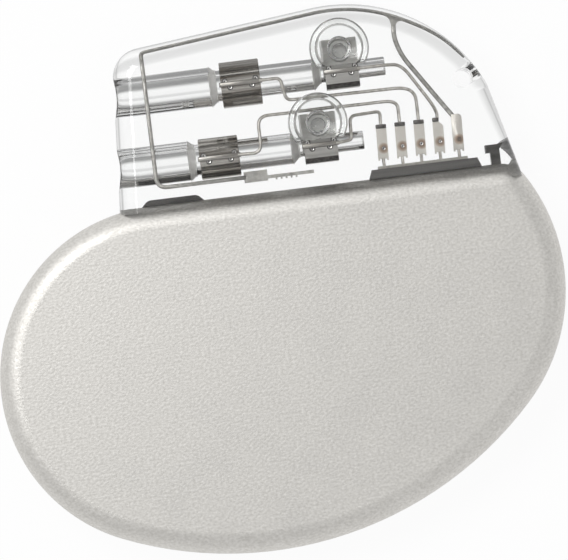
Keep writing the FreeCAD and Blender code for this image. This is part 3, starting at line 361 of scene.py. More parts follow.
def speckled(name, dark, light, metallic, roughness, scale, depth=0.00001):
    # a fine even grain, for cast, sintered and moulded finishes
    material, tree, shader = surface(name, light, metallic, roughness)
    grain = noiseOn(tree, scale, 3)
    tree.links.new(ramp(tree, grain, [(0.35, dark), (0.65, light)]), shader.inputs["Base Color"])
    bump(tree, shader, grain, 0.35, depth)
    return material


def clearCasting(name, colour, ior, roughness):
    material, tree, shader = surface(name, colour, 0.0, roughness, IOR=ior)
    shader.inputs["Transmission Weight"].default_value = 1.0
    haze = noiseOn(tree, 900, 2)
    tree.links.new(ramp(tree, haze, [(0.4, roughness), (0.75, roughness + 0.015)]),
            shader.inputs["Roughness"])
    return material


def heatTinted():
    # pale plate, browned round its weld: the tint follows the plate's own UV map
    material, tree, shader = surface("heatTinted", (0.76, 0.73, 0.68), 1.0, 0.45)
    place = addNode(tree, "UVMap")
    away = addNode(tree, "VectorMath", operation="LENGTH")
    tint = ramp(tree, away.outputs["Value"], [
        (0.0, (0.24, 0.2, 0.17)), (0.2, (0.33, 0.25, 0.2)), (0.36, (0.52, 0.42, 0.34)),
        (0.52, (0.76, 0.73, 0.68))])
    tree.links.new(place.outputs["UV"], away.inputs[0])
    tree.links.new(tint, shader.inputs["Base Color"])
    grain = noiseOn(tree, 4200, 3)
    bump(tree, shader, grain, 0.4, 0.00001)
    return material


finish = {
    "can": blastedTitanium(),
    "seam": streakedMetal("seamBead", (0.42, 0.41, 0.39), (0.62, 0.61, 0.58), 0.35, 3000, (1, 1, 1)),
    "trim": streakedMetal("satinTitanium", (0.1, 0.098, 0.094), (0.185, 0.18, 0.172), 0.42),
    "bracket": streakedMetal("darkBracket", (0.07, 0.068, 0.065), (0.13, 0.127, 0.12), 0.4),
    "epoxy": clearCasting("clearEpoxy", (0.985, 0.988, 0.985), 1.5, 0.0),
    "sealant": speckled("paleSealant", (0.9, 0.89, 0.86), (0.97, 0.96, 0.94), 0.0, 0.35, 1800),
    "silicone": clearCasting("clearSilicone", (0.96, 0.965, 0.96), 1.41, 0.03),
    "ring": streakedMetal("turnedSteel", (0.12, 0.1, 0.078), (0.8, 0.775, 0.73), 0.14, 2300),
    "tip": streakedMetal("satinSteel", (0.39, 0.38, 0.36), (0.51, 0.5, 0.48), 0.36, 2200),
    "ribbon": streakedMetal("flatWire", (0.3, 0.285, 0.26), (0.46, 0.445, 0.42), 0.3, 2400),
    "screw": streakedMetal("machinedSteel", (0.58, 0.575, 0.56), (0.74, 0.735, 0.715), 0.3, 2500,
        (1, 1, 0.1)),
    "wire": streakedMetal("drawnWire", (0.7, 0.67, 0.62), (0.9, 0.87, 0.82), 0.42, 2500, (1, 1, 1)),
    "plate": heatTinted(),
    # painted shade: a near-black finish on the tab collars, the tip blocks' low front chamfers and
    # the set screws' socket walls, standing in for the shade on them
    "collar": speckled("paintedShadeDark", (0.1, 0.095, 0.09), (0.2, 0.19, 0.18), 1.0, 0.45, 4000),
    "weld": speckled("weldMetal", (0.55, 0.54, 0.52), (0.8, 0.79, 0.77), 1.0, 0.15, 3500),
    # near black: burn round the weld beads, and painted shade in the weld pits and along the sides of
    # the flattened wire ends
    "paintedShadeAndBurn": speckled("paintedShadeAndBurn", (0.05, 0.048, 0.045), (0.12, 0.115, 0.11), 1.0, 0.35, 3500),
    "antenna": streakedMetal("antennaStrip", (0.42, 0.41, 0.385), (0.56, 0.55, 0.52), 0.4, 2500,
        (1, 1, 1)),
    "spring": streakedMetal("springAlloy", (0.55, 0.55, 0.54), (0.72, 0.72, 0.71), 0.22),
    "ceramic": speckled("glazedCeramic", (0.62, 0.6, 0.54), (0.74, 0.72, 0.66), 0.0, 0.3, 3000),
    "cell": streakedMetal("cellSteel", (0.5, 0.5, 0.5), (0.64, 0.64, 0.63), 0.3),
    "liner": speckled("linerFilm", (0.62, 0.48, 0.2), (0.76, 0.62, 0.32), 0.0, 0.4, 1500),
    "board": speckled("boardLaminate", (0.03, 0.12, 0.06), (0.07, 0.2, 0.11), 0.0, 0.45, 2500),
    "chip": speckled("chipPackage", (0.02, 0.02, 0.02), (0.045, 0.045, 0.045), 0.0, 0.5, 4000),
    "lid": streakedMetal("platedLid", (0.6, 0.6, 0.6), (0.74, 0.74, 0.74), 0.25),
    "capacitor": speckled("firedCeramic", (0.42, 0.3, 0.14), (0.56, 0.42, 0.22), 0.0, 0.35, 3500),
    "copper": streakedMetal("enamelledCopper", (0.42, 0.17, 0.07), (0.62, 0.3, 0.14), 0.3, 3000,
        (0.1, 1, 1)),
    "flex": speckled("flexFilm", (0.5, 0.24, 0.04), (0.62, 0.32, 0.07), 0.0, 0.35, 2000),
}
slotFinish = {
    "titanium_can": "can", "titanium_trim": "trim", "clear_epoxy": "epoxy", "silicone": "silicone",
    "contact_steel": "tip", "spring_alloy": "spring", "screw_steel": "screw", "bright_wire": "wire",
    "terminal_metal": "plate", "antenna_strip": "antenna", "ceramic": "ceramic", "cell_case": "cell",
    "liner_film": "liner", "laminate": "board", "chip_package": "chip", "crystal_lid": "lid",
    "capacitor_body": "capacitor", "copper_winding": "copper", "flex_film": "flex",
}
for part in frame["record"]["subparts"]:
    mesh = frame["nodes"][part["node"]].data
    mesh.materials.clear()
    choice = "bracket" if "bracket" in part["node"] else slotFinish[part["material_slot"]]
    mesh.materials.append(finish[choice])
print("finishes made:", len(finish))


# Can: two drawn shells that meet at mid thickness, and the seam weld between them

can = {
    "thickness": 6.0, "wall": 0.35, "edgeRadius": 2.0, "edgeSegments": 14, "topY": 7.85,
    "leftX": -10.25, "leftRadius": 14.86, "bottomX": -3.17, "bottomRadius": 32.86,
    "rightX": 8.91, "rightRadius": 16.2, "shoulderRadius": 2.6,
    "arcStep": 2.5,  # degrees
    "fewestSteps": 8,
}
seam = {"pitch": 0.3, "length": 0.42, "height": 0.5, "proud": 0.045}


def otherLeg(slant, leg):
    # the third side of a right triangle
    return math.sqrt(slant ** 2 - leg ** 2)


def canCentres():
    # each arc's centre, found from the arc that it touches
    left = Vector((can["leftX"], can["topY"] - can["leftRadius"]))
    up = otherLeg(can["bottomRadius"] - can["leftRadius"], can["bottomX"] - can["leftX"])
    bottom = Vector((can["bottomX"], left.y + up))
    down = otherLeg(can["bottomRadius"] - can["rightRadius"], can["rightX"] - can["bottomX"])
    right = Vector((can["rightX"], bottom.y - down))
    rise = can["topY"] - can["shoulderRadius"] - right.y
    across = otherLeg(can["rightRadius"] - can["shoulderRadius"], rise)
    shoulder = Vector((right.x + across, can["topY"] - can["shoulderRadius"]))
    return left, bottom, right, shoulder


def heading(start, end):
    return math.degrees(math.atan2(end.y - start.y, end.x - start.x)) % 360


def canRuns():
    # centre, radius, first angle and turn of each arc, anticlockwise from the top left
    left, bottom, right, shoulder = canCentres()
    lowLeft = heading(bottom, left)
    lowRight = heading(bottom, right)
    rightEnd = heading(right, shoulder)
    return [
        (left, can["leftRadius"], 90, lowLeft - 90),
        (bottom, can["bottomRadius"], lowLeft, lowRight - lowLeft),
        (right, can["rightRadius"], lowRight, rightEnd + 360 - lowRight),
        (shoulder, can["shoulderRadius"], rightEnd, 90 - rightEnd),
    ]


def canFace(z):
    bm = bmesh.new()
    vert = bm.verts.new((can["leftX"], can["topY"], z))
    for centre, radius, first, turn in canRuns():
        steps = max(can["fewestSteps"], round(turn / can["arcStep"]))
        vert = arcAbout(bm, vert, centre, turn, steps)
    lineTo(bm, vert, can["leftX"], can["topY"])
    return bm, closeOutline(bm)


def canHalf(name, side):
    # side is 1 for the front half and -1 for the rear one
    bm, face = canFace(middleZ)
    outerZ = middleZ + side * can["thickness"] / 2
    raiseFace(bm, face, outerZ - middleZ)
    rim = edgesWhere(bm, lambda place: abs(place.z - outerZ) < tiny)
    bevelEdges(bm, rim, can["edgeRadius"], can["edgeSegments"])
    mouth = [face for face in bm.faces if all(abs(vert.co.z - middleZ) < tiny for vert in face.verts)]
    bmesh.ops.delete(bm, geom=mouth, context="FACES_ONLY")
    bmesh.ops.solidify(bm, geom=bm.faces[:], thickness=can["wall"])
    faceOutwards(bm)
    finishPiece(name, bm, ["can"], ["can_front" if side > 0 else "can_rear"])


def seamBeads():
    # overlapping weld spots all round, at even steps along the arcs and the top line
    spots = []
    for centre, radius, first, turn in canRuns():
        count = round(math.radians(turn) * radius / seam["pitch"])
        for step in range(count):
            angle = math.radians(first + turn * step / count)
            outward = Vector((math.cos(angle), math.sin(angle)))
            spots.append((centre + outward * radius, angle))
    shoulder = canCentres()[3]
    count = round((shoulder.x - can["leftX"]) / seam["pitch"])
    for step in range(count):
        x = shoulder.x + (can["leftX"] - shoulder.x) * step / count
        spots.append((Vector((x, can["topY"])), quarterTurn))
    bm = bmesh.new()
    for spot, angle in spots:
        place = (Matrix.Translation((spot.x, spot.y, middleZ)) @ Matrix.Rotation(angle, 4, "Z")
                @ Matrix.Diagonal((seam["proud"], seam["length"] / 2, seam["height"] / 2, 1)))
        bmesh.ops.create_icosphere(bm, subdivisions=1, radius=1, matrix=place)
    finishPiece("seamWeld", bm, ["seam"], smoothBelow=80, evenNormals=False)


canHalf("canFront", 1)
canHalf("canRear", -1)
seamBeads()
print("can made")


# Lead ports: both share one stepped bore, placed by its ring block

# a port's name ends the names of its pieces, and its wires lead to the terminals counted from 0
ports = {
    "Upper": {"axisY": 17.6, "ringX": -2.74, "ringRadius": 2.02, "mouthX": -12.17,
        "ringTab": 2, "tipTab": 3},
    "Lower": {"axisY": 11.4, "ringX": -5.36, "ringRadius": 1.8, "mouthX": -12.61,
        "ringTab": 1, "tipTab": 0},
}
bore = {
    "wideRadius": 1.74, "middleRadius": 1.37, "pinRadius": 0.825, "wideEnd": -0.95,
    "wideCone": 0.5, "middleEnd": 8.1, "pinCone": 0.6, "end": 14.43, "flare": 0.45,
    "softening": 0.09,
    "sharpMouth": 0.1,  # edges nearer the mouth than this aren't softened
    "past": 2.0,  # how far the cutter reaches out of the mouth
    "steps": 96,
}
tip = {"start": 9.15, "length": 2.93, "above": 2.78, "below": 1.52, "front": 1.95, "back": 1.75,
       "chamfer": 0.42, "edge": 0.05, "pinHole": (-1.0, 4.0), "pinSteps": 48, "screwHole": (3.0, 8.0),
       "screwOffset": 1.73, "screwRadius": 0.95, "screwGap": 0.01, "screwSteps": 64}
septum = {"offset": 1.95, "radius": 2.57, "bossRadius": 2.05, "neckRadius": 0.98, "flangeZ": 5.35,
        "bossZ": 5.65, "neckZ": 4.95, "cut": 0.45, "gap": 0.03, "seatEdge": 0.1, "seatSegments": 4,
        "edge": 0.16, "edgeSegments": 3, "steps": 96}


def boreCutter(port):
    x0, past = port["mouthX"], bore["past"]
    flared = bore["wideRadius"] + bore["flare"]
    wideX, middleX, endX = (port["ringX"] + bore[key] for key in ("wideEnd", "middleEnd", "end"))
    bm = turned([
        (x0 - past, 0),
        (x0 - past, flared + past),
        (x0, flared),
        (x0 + bore["flare"], bore["wideRadius"]),
        (wideX, bore["wideRadius"]),
        (wideX + bore["wideCone"], bore["middleRadius"]),
        (middleX, bore["middleRadius"]),
        (middleX + bore["pinCone"], bore["pinRadius"]),
        (endX, bore["pinRadius"]),
        (endX, 0),
    ], (0, port["axisY"], middleZ), (1, 0, 0), bore["steps"])
    inner = [edge for edge in sharpEdges(bm, 20)
            if min(vert.co.x for vert in edge.verts) > x0 + bore["sharpMouth"]]
    bevelEdges(bm, inner, bore["softening"], 3)
    return bm


def overTip(port, offset):
    # a point on the middle line of a tip block, offset from the bore's axis
    return (port["ringX"] + tip["start"] + tip["length"] / 2, port["axisY"] + offset, 0)


def septumForm(port, grow, topZ):
    # the plug's form, grown for its seat in the header or shrunk for the plug itself
    neck, flange, boss = (septum[key] + grow for key in ("neckRadius", "radius", "bossRadius"))
    lowZ, flangeZ, bossZ = septum["neckZ"] - grow, septum["flangeZ"] - grow, septum["bossZ"] + grow
    bm = turned([(lowZ, 0), (lowZ, neck), (flangeZ, neck), (flangeZ, flange), (bossZ, flange),
            (bossZ, boss), (topZ, boss), (topZ, 0)],
            overTip(port, septum["offset"]), (0, 0, 1), septum["steps"])
    cutFlat(bm, (0, port["axisY"] + septum["cut"] - grow, 0), (0, -1, 0))
    faceOutwards(bm)
    return bm


# Header: the clear casting, with its bores, suture hole and septum seats as hollows

header = {
    "lowZ": 0.1, "highZ": 5.9, "edgeRadius": 2.0, "edgeSegments": 16, "footX": -12.89,
    "footY": 7.35, "leftLean": 4.0, "cornerRadius": 2.6, "cornerSteps": 18, "topSlope": 6.0,
    "crownX": 7.35, "crownY": 9.26, "crownRadius": 14.2, "crownSteps": 48,
    "shoulderRadius": 3.0, "shoulderSteps": 14, "rightX": 22.48, "rightLean": 14.19,
    "tongueY": 6.6, "tongueWidth": 0.75, "tongueStartX": 21.15, "sutureX": 18.31,
    "sutureY": 15.72, "sutureRadius": 0.82, "drillZ": (-1, 7), "drillSteps": 64,
    "seatDepth": 1.0,
}


def headerFace():
    lean, slope, rightLean = (
        math.radians(header[key]) for key in ("leftLean", "topSlope", "rightLean"))
    corner, shoulder = header["cornerRadius"], header["shoulderRadius"]
    crown = Vector((header["crownX"], header["crownY"]))
    upFromTop = Vector((-math.sin(slope), math.cos(slope)))
    topEnd = crown + header["crownRadius"] * upFromTop
    leftIn = header["footX"] + corner / math.cos(lean)
    topIn = topEnd.y - topEnd.x * math.tan(slope) - corner / math.cos(slope)
    cornerX = leftIn + (topIn - header["footY"]) * math.tan(lean)
    cornerX /= 1 - math.tan(slope) * math.tan(lean)
    cornerCentre = Vector((cornerX, topIn + cornerX * math.tan(slope)))
    # the shoulder's arc touches the leaning right side, and the crown's arc from inside
    fall = math.tan(rightLean)
    base = header["rightX"] - shoulder / math.cos(rightLean) - crown.x
    base -= fall * (crown.y - header["tongueY"])
    a, b, c = 1 + fall ** 2, -2 * base * fall, base ** 2 - (header["crownRadius"] - shoulder) ** 2
    rise = (-b + math.sqrt(b ** 2 - 4 * a * c)) / (2 * a)
    shoulderCentre = Vector((crown.x + base - fall * rise, crown.y + rise))
    crownEnd = heading(crown, shoulderCentre)
    bm = bmesh.new()
    vert = bm.verts.new((header["rightX"], header["tongueY"], header["lowZ"]))
    first = vert
    rightTouch = shoulderCentre + shoulder * Vector((math.cos(rightLean), math.sin(rightLean)))
    vert = lineTo(bm, vert, *rightTouch)
    vert = arcAbout(bm, vert, shoulderCentre, crownEnd - header["rightLean"], header["shoulderSteps"])
    vert = arcAbout(bm, vert, crown, 90 + header["topSlope"] - crownEnd, header["crownSteps"])
    vert = lineTo(bm, vert, *(cornerCentre + corner * upFromTop))
    vert = arcAbout(bm, vert, cornerCentre, 90 - header["leftLean"] - header["topSlope"],
            header["cornerSteps"])
    vert = lineTo(bm, vert, header["footX"], header["footY"])
    vert = lineTo(bm, vert, header["tongueStartX"], header["footY"])
    vert = lineTo(bm, vert, header["rightX"] - header["tongueWidth"], header["tongueY"])
    lineTo(bm, vert, *first.co.xy)
    return bm, closeOutline(bm)


def isLevel(edge):
    return abs(edge.verts[0].co.z - edge.verts[1].co.z) < tiny


def headerGlass():
    bm, face = headerFace()
    raiseFace(bm, face, header["highZ"] - header["lowZ"])
    rim = [edge for edge in bm.edges if isLevel(edge)
           and (edge.verts[0].co.y + edge.verts[1].co.y) / 2 > can["topY"]]
    bevelEdges(bm, rim, header["edgeRadius"], header["edgeSegments"])
    tools = [boreCutter(port) for port in ports.values()]
    tools.append(rod(*header["drillZ"], header["sutureRadius"],
            (header["sutureX"], header["sutureY"], 0), (0, 0, 1), header["drillSteps"]))
    for port in ports.values():
        seat = septumForm(port, septum["gap"], header["highZ"] + header["seatDepth"])
        arcs = [edge for edge in sharpEdges(seat, 60)
                if edge.verts[0].co.z < header["highZ"] and isLevel(edge)]
        bevelEdges(seat, arcs, septum["seatEdge"], septum["seatSegments"])
        tools.append(seat)
    bm = cutAway(bm, tools)
    finishPiece("headerCasting", bm, ["epoxy"], ["header_body"], smoothBelow=28)


def septumPlug(side, port):
    bm = septumForm(port, -septum["gap"], header["highZ"] - septum["gap"])
    bevelEdges(bm, sharpEdges(bm, 40), septum["edge"], septum["edgeSegments"])
    finishPiece("septum" + side, bm, ["silicone"], ["septum_" + side.lower()])


headerGlass()
for side, port in ports.items():
    septumPlug(side, port)
print("header and septa made")


# Ring blocks and tip blocks, with their set screws

sealBead = {"over": 0.05, "under": 0.02, "lap": 0.05, "after": 0.08}
ring = {"length": 3.47, "boreRadius": 1.37, "flatDepth": 0.1, "edge": 0.05, "steps": 128}
screw = {"recess": 0.12, "length": 1.4, "nose": 0.75, "noseRadius": 0.45, "rimEdge": 0.06,
        "dish": 0.62, "dishDepth": 0.12, "dishSlope": 0.05, "socketSize": 0.95, "socketDepth": 0.9,
        "socketSides": 6}


def ringBlock(side, port):
    outer, inner, edge, length = port["ringRadius"], ring["boreRadius"], ring["edge"], ring["length"]
    profile = [(0, inner), (0, outer - edge), (edge, outer), (length - edge, outer),
            (length, outer - edge), (length, inner), (0, inner)]
    bm = turned(profile, (port["ringX"], port["axisY"], middleZ), (1, 0, 0), ring["steps"])
    cutFlat(bm, (0, 0, middleZ + outer - ring["flatDepth"]), (0, 0, 1))
    finishPiece("ringBlock" + side, bm, ["ring"],
            ["ring_block_" + side.lower()])


def sealBeads(side, port):
    # pale sealant that lines the two cones of the bore
    over, under = sealBead["over"], sealBead["under"]
    wideX, middleX = port["ringX"] + bore["wideEnd"], port["ringX"] + bore["middleEnd"]
    cones = (
        (wideX, wideX + bore["wideCone"], bore["wideRadius"], bore["middleRadius"]),
        (middleX, middleX + bore["pinCone"], bore["middleRadius"], bore["pinRadius"]),
    )
    bm = bmesh.new()
    for startX, narrowX, wide, narrow in cones:
        endX = narrowX + sealBead["after"]
        addTo(bm, turned([(startX, wide + over), (narrowX - sealBead["lap"], narrow + over),
                (endX, narrow + over), (endX, narrow - under), (narrowX, narrow - under),
                (startX, wide - under), (startX, wide + over)],
                (0, port["axisY"], middleZ), (1, 0, 0), bore["steps"]))
    finishPiece("sealBeads" + side, bm, ["sealant"], smoothBelow=40)


def tipBlock(side, port):
    x, y = port["ringX"] + tip["start"], port["axisY"]
    lowY, highY = y - tip["below"], y + tip["above"]
    bm = outlineSolid([(x, lowY), (x + tip["length"], lowY), (x + tip["length"], highY), (x, highY)],
            middleZ - tip["back"], middleZ + tip["front"])
    lowFront = edgesWhere(bm, lambda place: abs(place.y - lowY) < tiny and place.z > middleZ)
    bevelEdges(bm, lowFront, tip["chamfer"], 1)
    for face in bm.faces:
        # the low front chamfer takes finish 1, the near-black one: painted shade on the chamfer
        face.material_index = 1 if face.normal.y < -0.5 and face.normal.z > 0.5 else 0
    bevelEdges(bm, sharpEdges(bm), tip["edge"], 2)
    pinHole = rod(*tip["pinHole"], bore["pinRadius"], (x, y, middleZ), (1, 0, 0), tip["pinSteps"])
    screwHole = rod(*tip["screwHole"], tip["screwRadius"] + tip["screwGap"],
            overTip(port, tip["screwOffset"]), (0, 0, 1), tip["screwSteps"])
    bm = cutAway(bm, [pinHole, screwHole])
    finishPiece("tipBlock" + side, bm, ["tip", "collar"],
            ["tip_block_" + side.lower()])


def setScrew(side, port):
    centre = overTip(port, tip["screwOffset"])
    radius, rim, dish = tip["screwRadius"], screw["rimEdge"], screw["dish"]
    headZ = middleZ + tip["front"] - screw["recess"]
    shankZ, dishZ = headZ - screw["length"], headZ - screw["dishDepth"]
    noseZ = shankZ - screw["nose"]
    bm = turned([(noseZ, 0), (noseZ, screw["noseRadius"]), (shankZ, radius), (headZ - rim, radius),
            (headZ, radius - rim), (headZ, dish), (dishZ, dish - screw["dishSlope"]), (dishZ, 0)],
            centre, (0, 0, 1), tip["screwSteps"])
    socketRadius = screw["socketSize"] / 2 / math.cos(math.pi / screw["socketSides"])
    socket = rod(headZ - screw["socketDepth"], headZ + 1, socketRadius, centre, (0, 0, 1),
            screw["socketSides"])
    bm = cutAway(bm, [socket])
    # the socket's walls and the dish's slope take finish 1, the near-black one: painted shade in the
    # recess
    for face in bm.faces:
        away = (face.calc_center_median() - Vector(centre)).xy.length
        face.material_index = 1 if away < dish and face.normal.z < 0.9 else 0
    finishPiece("setScrew" + side, bm, ["screw", "collar"],
            ["setscrew_" + side.lower()])


for side, port in ports.items():
    ringBlock(side, port)
    sealBeads(side, port)
    tipBlock(side, port)
    setScrew(side, port)
print("blocks made")


# Wires: a flattened end welded across its block at four spots, then a smooth line to its collar

wire = {"radius": 0.145, "ribbonHeight": 0.42, "ribbonThickness": 0.14, "ribbonEdge": 0.06,
        "stub": 0.15, "inRibbon": 0.25, "pastRibbon": 0.15, "easing": 0.1, "bend": 0.4,
        "inCollar": 0.1}
weldSpot = {
    "burn": 0.26, "ring": 0.2, "rise": 0.07, "pit": 0.085, "apart": 0.27, "foot": 0.01,
    "skin": 0.015, "steps": 24,
    # shares of the sizes above
    "crestOut": 0.85, "crestIn": 1.4, "lip": 0.8, "pitFloor": 0.5, "burnTop": 0.98, "burnIn": 0.9,
}
# the welds on each kind of block, with their place along it and their side of the flat end
welds = {
    "ring": [(0.37, 1), (3.08, 1), (0.79, -1), (2.72, -1)],
    "tip": [(0.35, 1), (2.65, 1), (0.72, -1), (2.27, -1)],
}
routes = {
    "ringUpper": [(2.45, 17.6, 4.95, 0.45), (2.78, 15.6, 4.9, 0.5), (14.03, 15.5, 3.4, 1.8)],
    "tipUpper": [(11.6, 17.6, 4.9, 0.3), (13.1, 17.5, 4.4, 1.2), (15.38, 13.75, 3.6, 0.6)],
    "ringLower": [(0.08, 11.32, 4.95, 0.95), (0.1, 14.5, 4.95, 0.95), (12.38, 14.48, 3.4, 1.25)],
    "tipLower": [(8.0, 11.5, 4.9, 0.3), (8.08, 13.58, 4.4, 0.6), (10.77, 13.7, 3.3, 0.45)],
}
tab = {
    "firstX": 10.58, "pitch": 1.66, "footY": 9.4, "backZ": 3.135, "lean": 2.2,
    "length": 3.15, "width": 0.92, "thickness": 0.2, "ear": 0.16, "notch": 0.14, "edge": 0.025,
    "collarHeight": 0.36, "collarThickness": 0.5, "collarEdge": 0.07, "wireLead": 0.4,
    "weldUp": 1.05, "weldAcross": 0.1, "weldSize": 0.9, "weldSunk": 0.02,
    "narrowOne": 3,
    "narrowSide": [(0.46, 0.62), (0.36, 0.42), (0.1, 0.2), (0.1, 0)],  # across, down from the top
    "lastLonger": 0.12, "lastCorner": 0.35,
}


def addWeld(bm, x, y, z, size=1.0):
    # a raised ring of material 1 round a pit, on a burnt rim, both of material 2, which is near
    # black: burn on the rim, painted shade in the pit
    burn, outer, pit, rise = (weldSpot[key] * size for key in ("burn", "ring", "pit", "rise"))
    lip, skin = rise * weldSpot["lip"], weldSpot["skin"]
    bead = [(weldSpot["foot"], outer), (rise, outer * weldSpot["crestOut"]),
            (rise, pit * weldSpot["crestIn"]), (lip, pit)]
    hollow = [(lip, pit), (rise * weldSpot["pitFloor"], 0)]
    rim = [(0, burn), (skin, burn * weldSpot["burnTop"]), (skin, outer * weldSpot["burnIn"])]
    for materialIndex, profile in ((1, bead), (2, hollow), (2, rim)):
        addTo(bm, turned(profile, (x, y, z), (0, 0, 1), weldSpot["steps"]), materialIndex)


def tabPoint(index, across, up):
    lean = math.radians(tab["lean"])
    return (tab["firstX"] + index * tab["pitch"] + across * math.cos(lean) + up * math.sin(lean),
            tab["footY"] + up * math.cos(lean) - across * math.sin(lean))


def weldedWire(kind, side, port, startX, length, faceZ):
    lowX, highX = startX - wire["stub"], startX + length + wire["stub"]
    y, half = port["axisY"], wire["ribbonHeight"] / 2
    bm = outlineSolid([(lowX, y - half), (highX, y - half), (highX, y + half), (lowX, y + half)],
            faceZ, faceZ + wire["ribbonThickness"])
    bevelEdges(bm, sharpEdges(bm), wire["ribbonEdge"], 2)
    for face in bm.faces:
        # the flat end's sides and rounded edges take material 2, the near-black one: painted shadow
        # along its edges
        face.material_index = 3 if face.normal.z > 0.9 else 2
    wireZ, collarZ = faceZ + wire["radius"], tab["backZ"] + tab["thickness"] / 2
    points = [(highX - wire["inRibbon"], y, wireZ, 0),
            (highX + wire["pastRibbon"], y, wireZ, wire["easing"])] + routes[kind + side]
    points += [(*tabPoint(port[kind + "Tab"], 0, tab["length"] + up), collarZ, wire["bend"])
            for up in (tab["wireLead"], -wire["inCollar"])]
    addTo(bm, tube(roundedLine(points), wire["radius"]))
    for x, up in welds[kind]:
        addWeld(bm, startX + x, y + up * weldSpot["apart"], faceZ)
    finishPiece("wire" + kind.capitalize() + side, bm, ["wire", "weld", "paintedShadeAndBurn", "ribbon"],
            [f"wire_{kind}_{side.lower()}"], smoothBelow=60, evenNormals=False)


for side, port in ports.items():
    weldedWire("ring", side, port, port["ringX"], ring["length"],
            middleZ + port["ringRadius"] - ring["flatDepth"])
    weldedWire("tip", side, port, port["ringX"] + tip["start"], tip["length"], middleZ + tip["front"])
print("wires made")


# Terminals: leaning plates with collars, and the pins behind them

pins = {"radius": 0.135, "lowY": 5.6, "highY": 10.45, "count": 5, "steps": 24}
lastTab = pins["count"] - 1


def leaning(bm, index):
    turn = Matrix.Rotation(-math.radians(tab["lean"]), 4, "Z")
    place = Matrix.Translation((*tabPoint(index, 0, 0), 0)) @ turn
    bmesh.ops.transform(bm, matrix=place, verts=bm.verts[:])
    return bm


def tabPlate(index):
    # the notched plate with its weld, in place, with a UV map measured from the weld
    half, ear, notch = tab["width"] / 2, tab["ear"], tab["notch"]
    top = tab["length"] - tab["collarHeight"] / 2
    if index == lastTab:
        top = tab["length"] + tab["lastLonger"]
    topRight = [(half, top)]
    if index == tab["narrowOne"]:
        topRight = [(across, top - down) for across, down in tab["narrowSide"]]
    bm = outlineSolid([(-half, 0), (ear - half, 0), (ear - half, notch), (half - ear, notch),
            (half - ear, 0), (half, 0)] + topRight + [(-half, top)],
            tab["backZ"], tab["backZ"] + tab["thickness"])
    if index == lastTab:
        corner = edgesWhere(bm, lambda place: place.x > half - tiny and place.y > top - tiny)
        bevelEdges(bm, corner, tab["lastCorner"], 6)
    bevelEdges(bm, sharpEdges(bm), tab["edge"], 2)
    layer = bm.loops.layers.uv.new("UVMap")
    for face in bm.faces:
        for loop in face.loops:
            loop[layer].uv = (loop.vert.co.x - tab["weldAcross"], loop.vert.co.y - tab["weldUp"])
    addWeld(bm, tab["weldAcross"], tab["weldUp"], tab["backZ"] + tab["thickness"] - tab["weldSunk"],
            tab["weldSize"])
    return leaning(bm, index)


def terminalTab(index):
    bm = tabPlate(index)
    half, high = tab["width"] / 2, tab["length"]
    middle = tab["backZ"] + tab["thickness"] / 2
    rightX = tab["narrowSide"][-1][0] if index == tab["narrowOne"] else half
    lowY = high - tab["collarHeight"]
    collar = outlineSolid([(-half, lowY), (rightX, lowY), (rightX, high), (-half, high)],
            middle - tab["collarThickness"] / 2, middle + tab["collarThickness"] / 2)
    bevelEdges(collar, sharpEdges(collar), tab["collarEdge"], 3)
    # the collar takes finish 3, the near-black one: painted shade on the collar
    addTo(bm, leaning(collar, index), 3)
    finishPiece(f"terminalTab{index + 1}", bm, ["plate", "weld", "paintedShadeAndBurn", "collar"],
            [f"terminal_tab_{index + 1}"])


def feedthroughPins():
    bm = bmesh.new()
    for index in range(pins["count"]):
        x = tab["firstX"] + index * tab["pitch"]
        addTo(bm, rod(0, pins["highY"] - pins["lowY"], pins["radius"], (x, pins["lowY"], middleZ),
                (0, 1, 0), pins["steps"]))
    finishPiece("feedthroughPins", bm, ["wire"], ["feedthrough_pins"])


for index in range(lastTab):
    terminalTab(index)
feedthroughPins()
print("terminals made")


# Antenna: one flat strip along the crown, with a leg down each side. The right leg ends in the
# last terminal's plate

antenna = {
    "depth": 0.46, "width": 0.36, "sheet": 0.15, "topZ": 5.01, "leftX": -9.51,
    "rightAngle": 54.0, "crownSteps": 60,
    "endWidth": 0.6,  # share of the width at the right end, which is full after endSteps
    "endSteps": 4, "cornerBend": 0.4, "footY": 9.35, "footEndX": -1.52, "footBend": 0.95,
    "bendSteps": 12,
    "easeStart": 64.0,  # degrees round the crown, from where the band nears the edge
    "easeLength": 22.0, "easeOut": 0.2, "easeDown": 0.45, "easeWide": 0.08, "branchX": 12.75,
    "branchWidth": 0.4,
    # the branch's points: across from branchX, up from the band's lower edge, and reach
    "branchRoute": [(0.05, 0.1, 0), (0, -1.75, 0.7), (0.5, -3.3, 0.9)],
    "branchEnd": (0.27, -0.2),  # from the last plate's upper left corner
    "branchBendSteps": 10, "branchRun": 0.4, "branchSunk": 0.01, "slopeStart": 1.2,
    "slopeEnd": 8.2, "leftFillet": 0.85, "rightFillet": 0.45, "filletSteps": 12,
    "filletProud": 0.002,
}


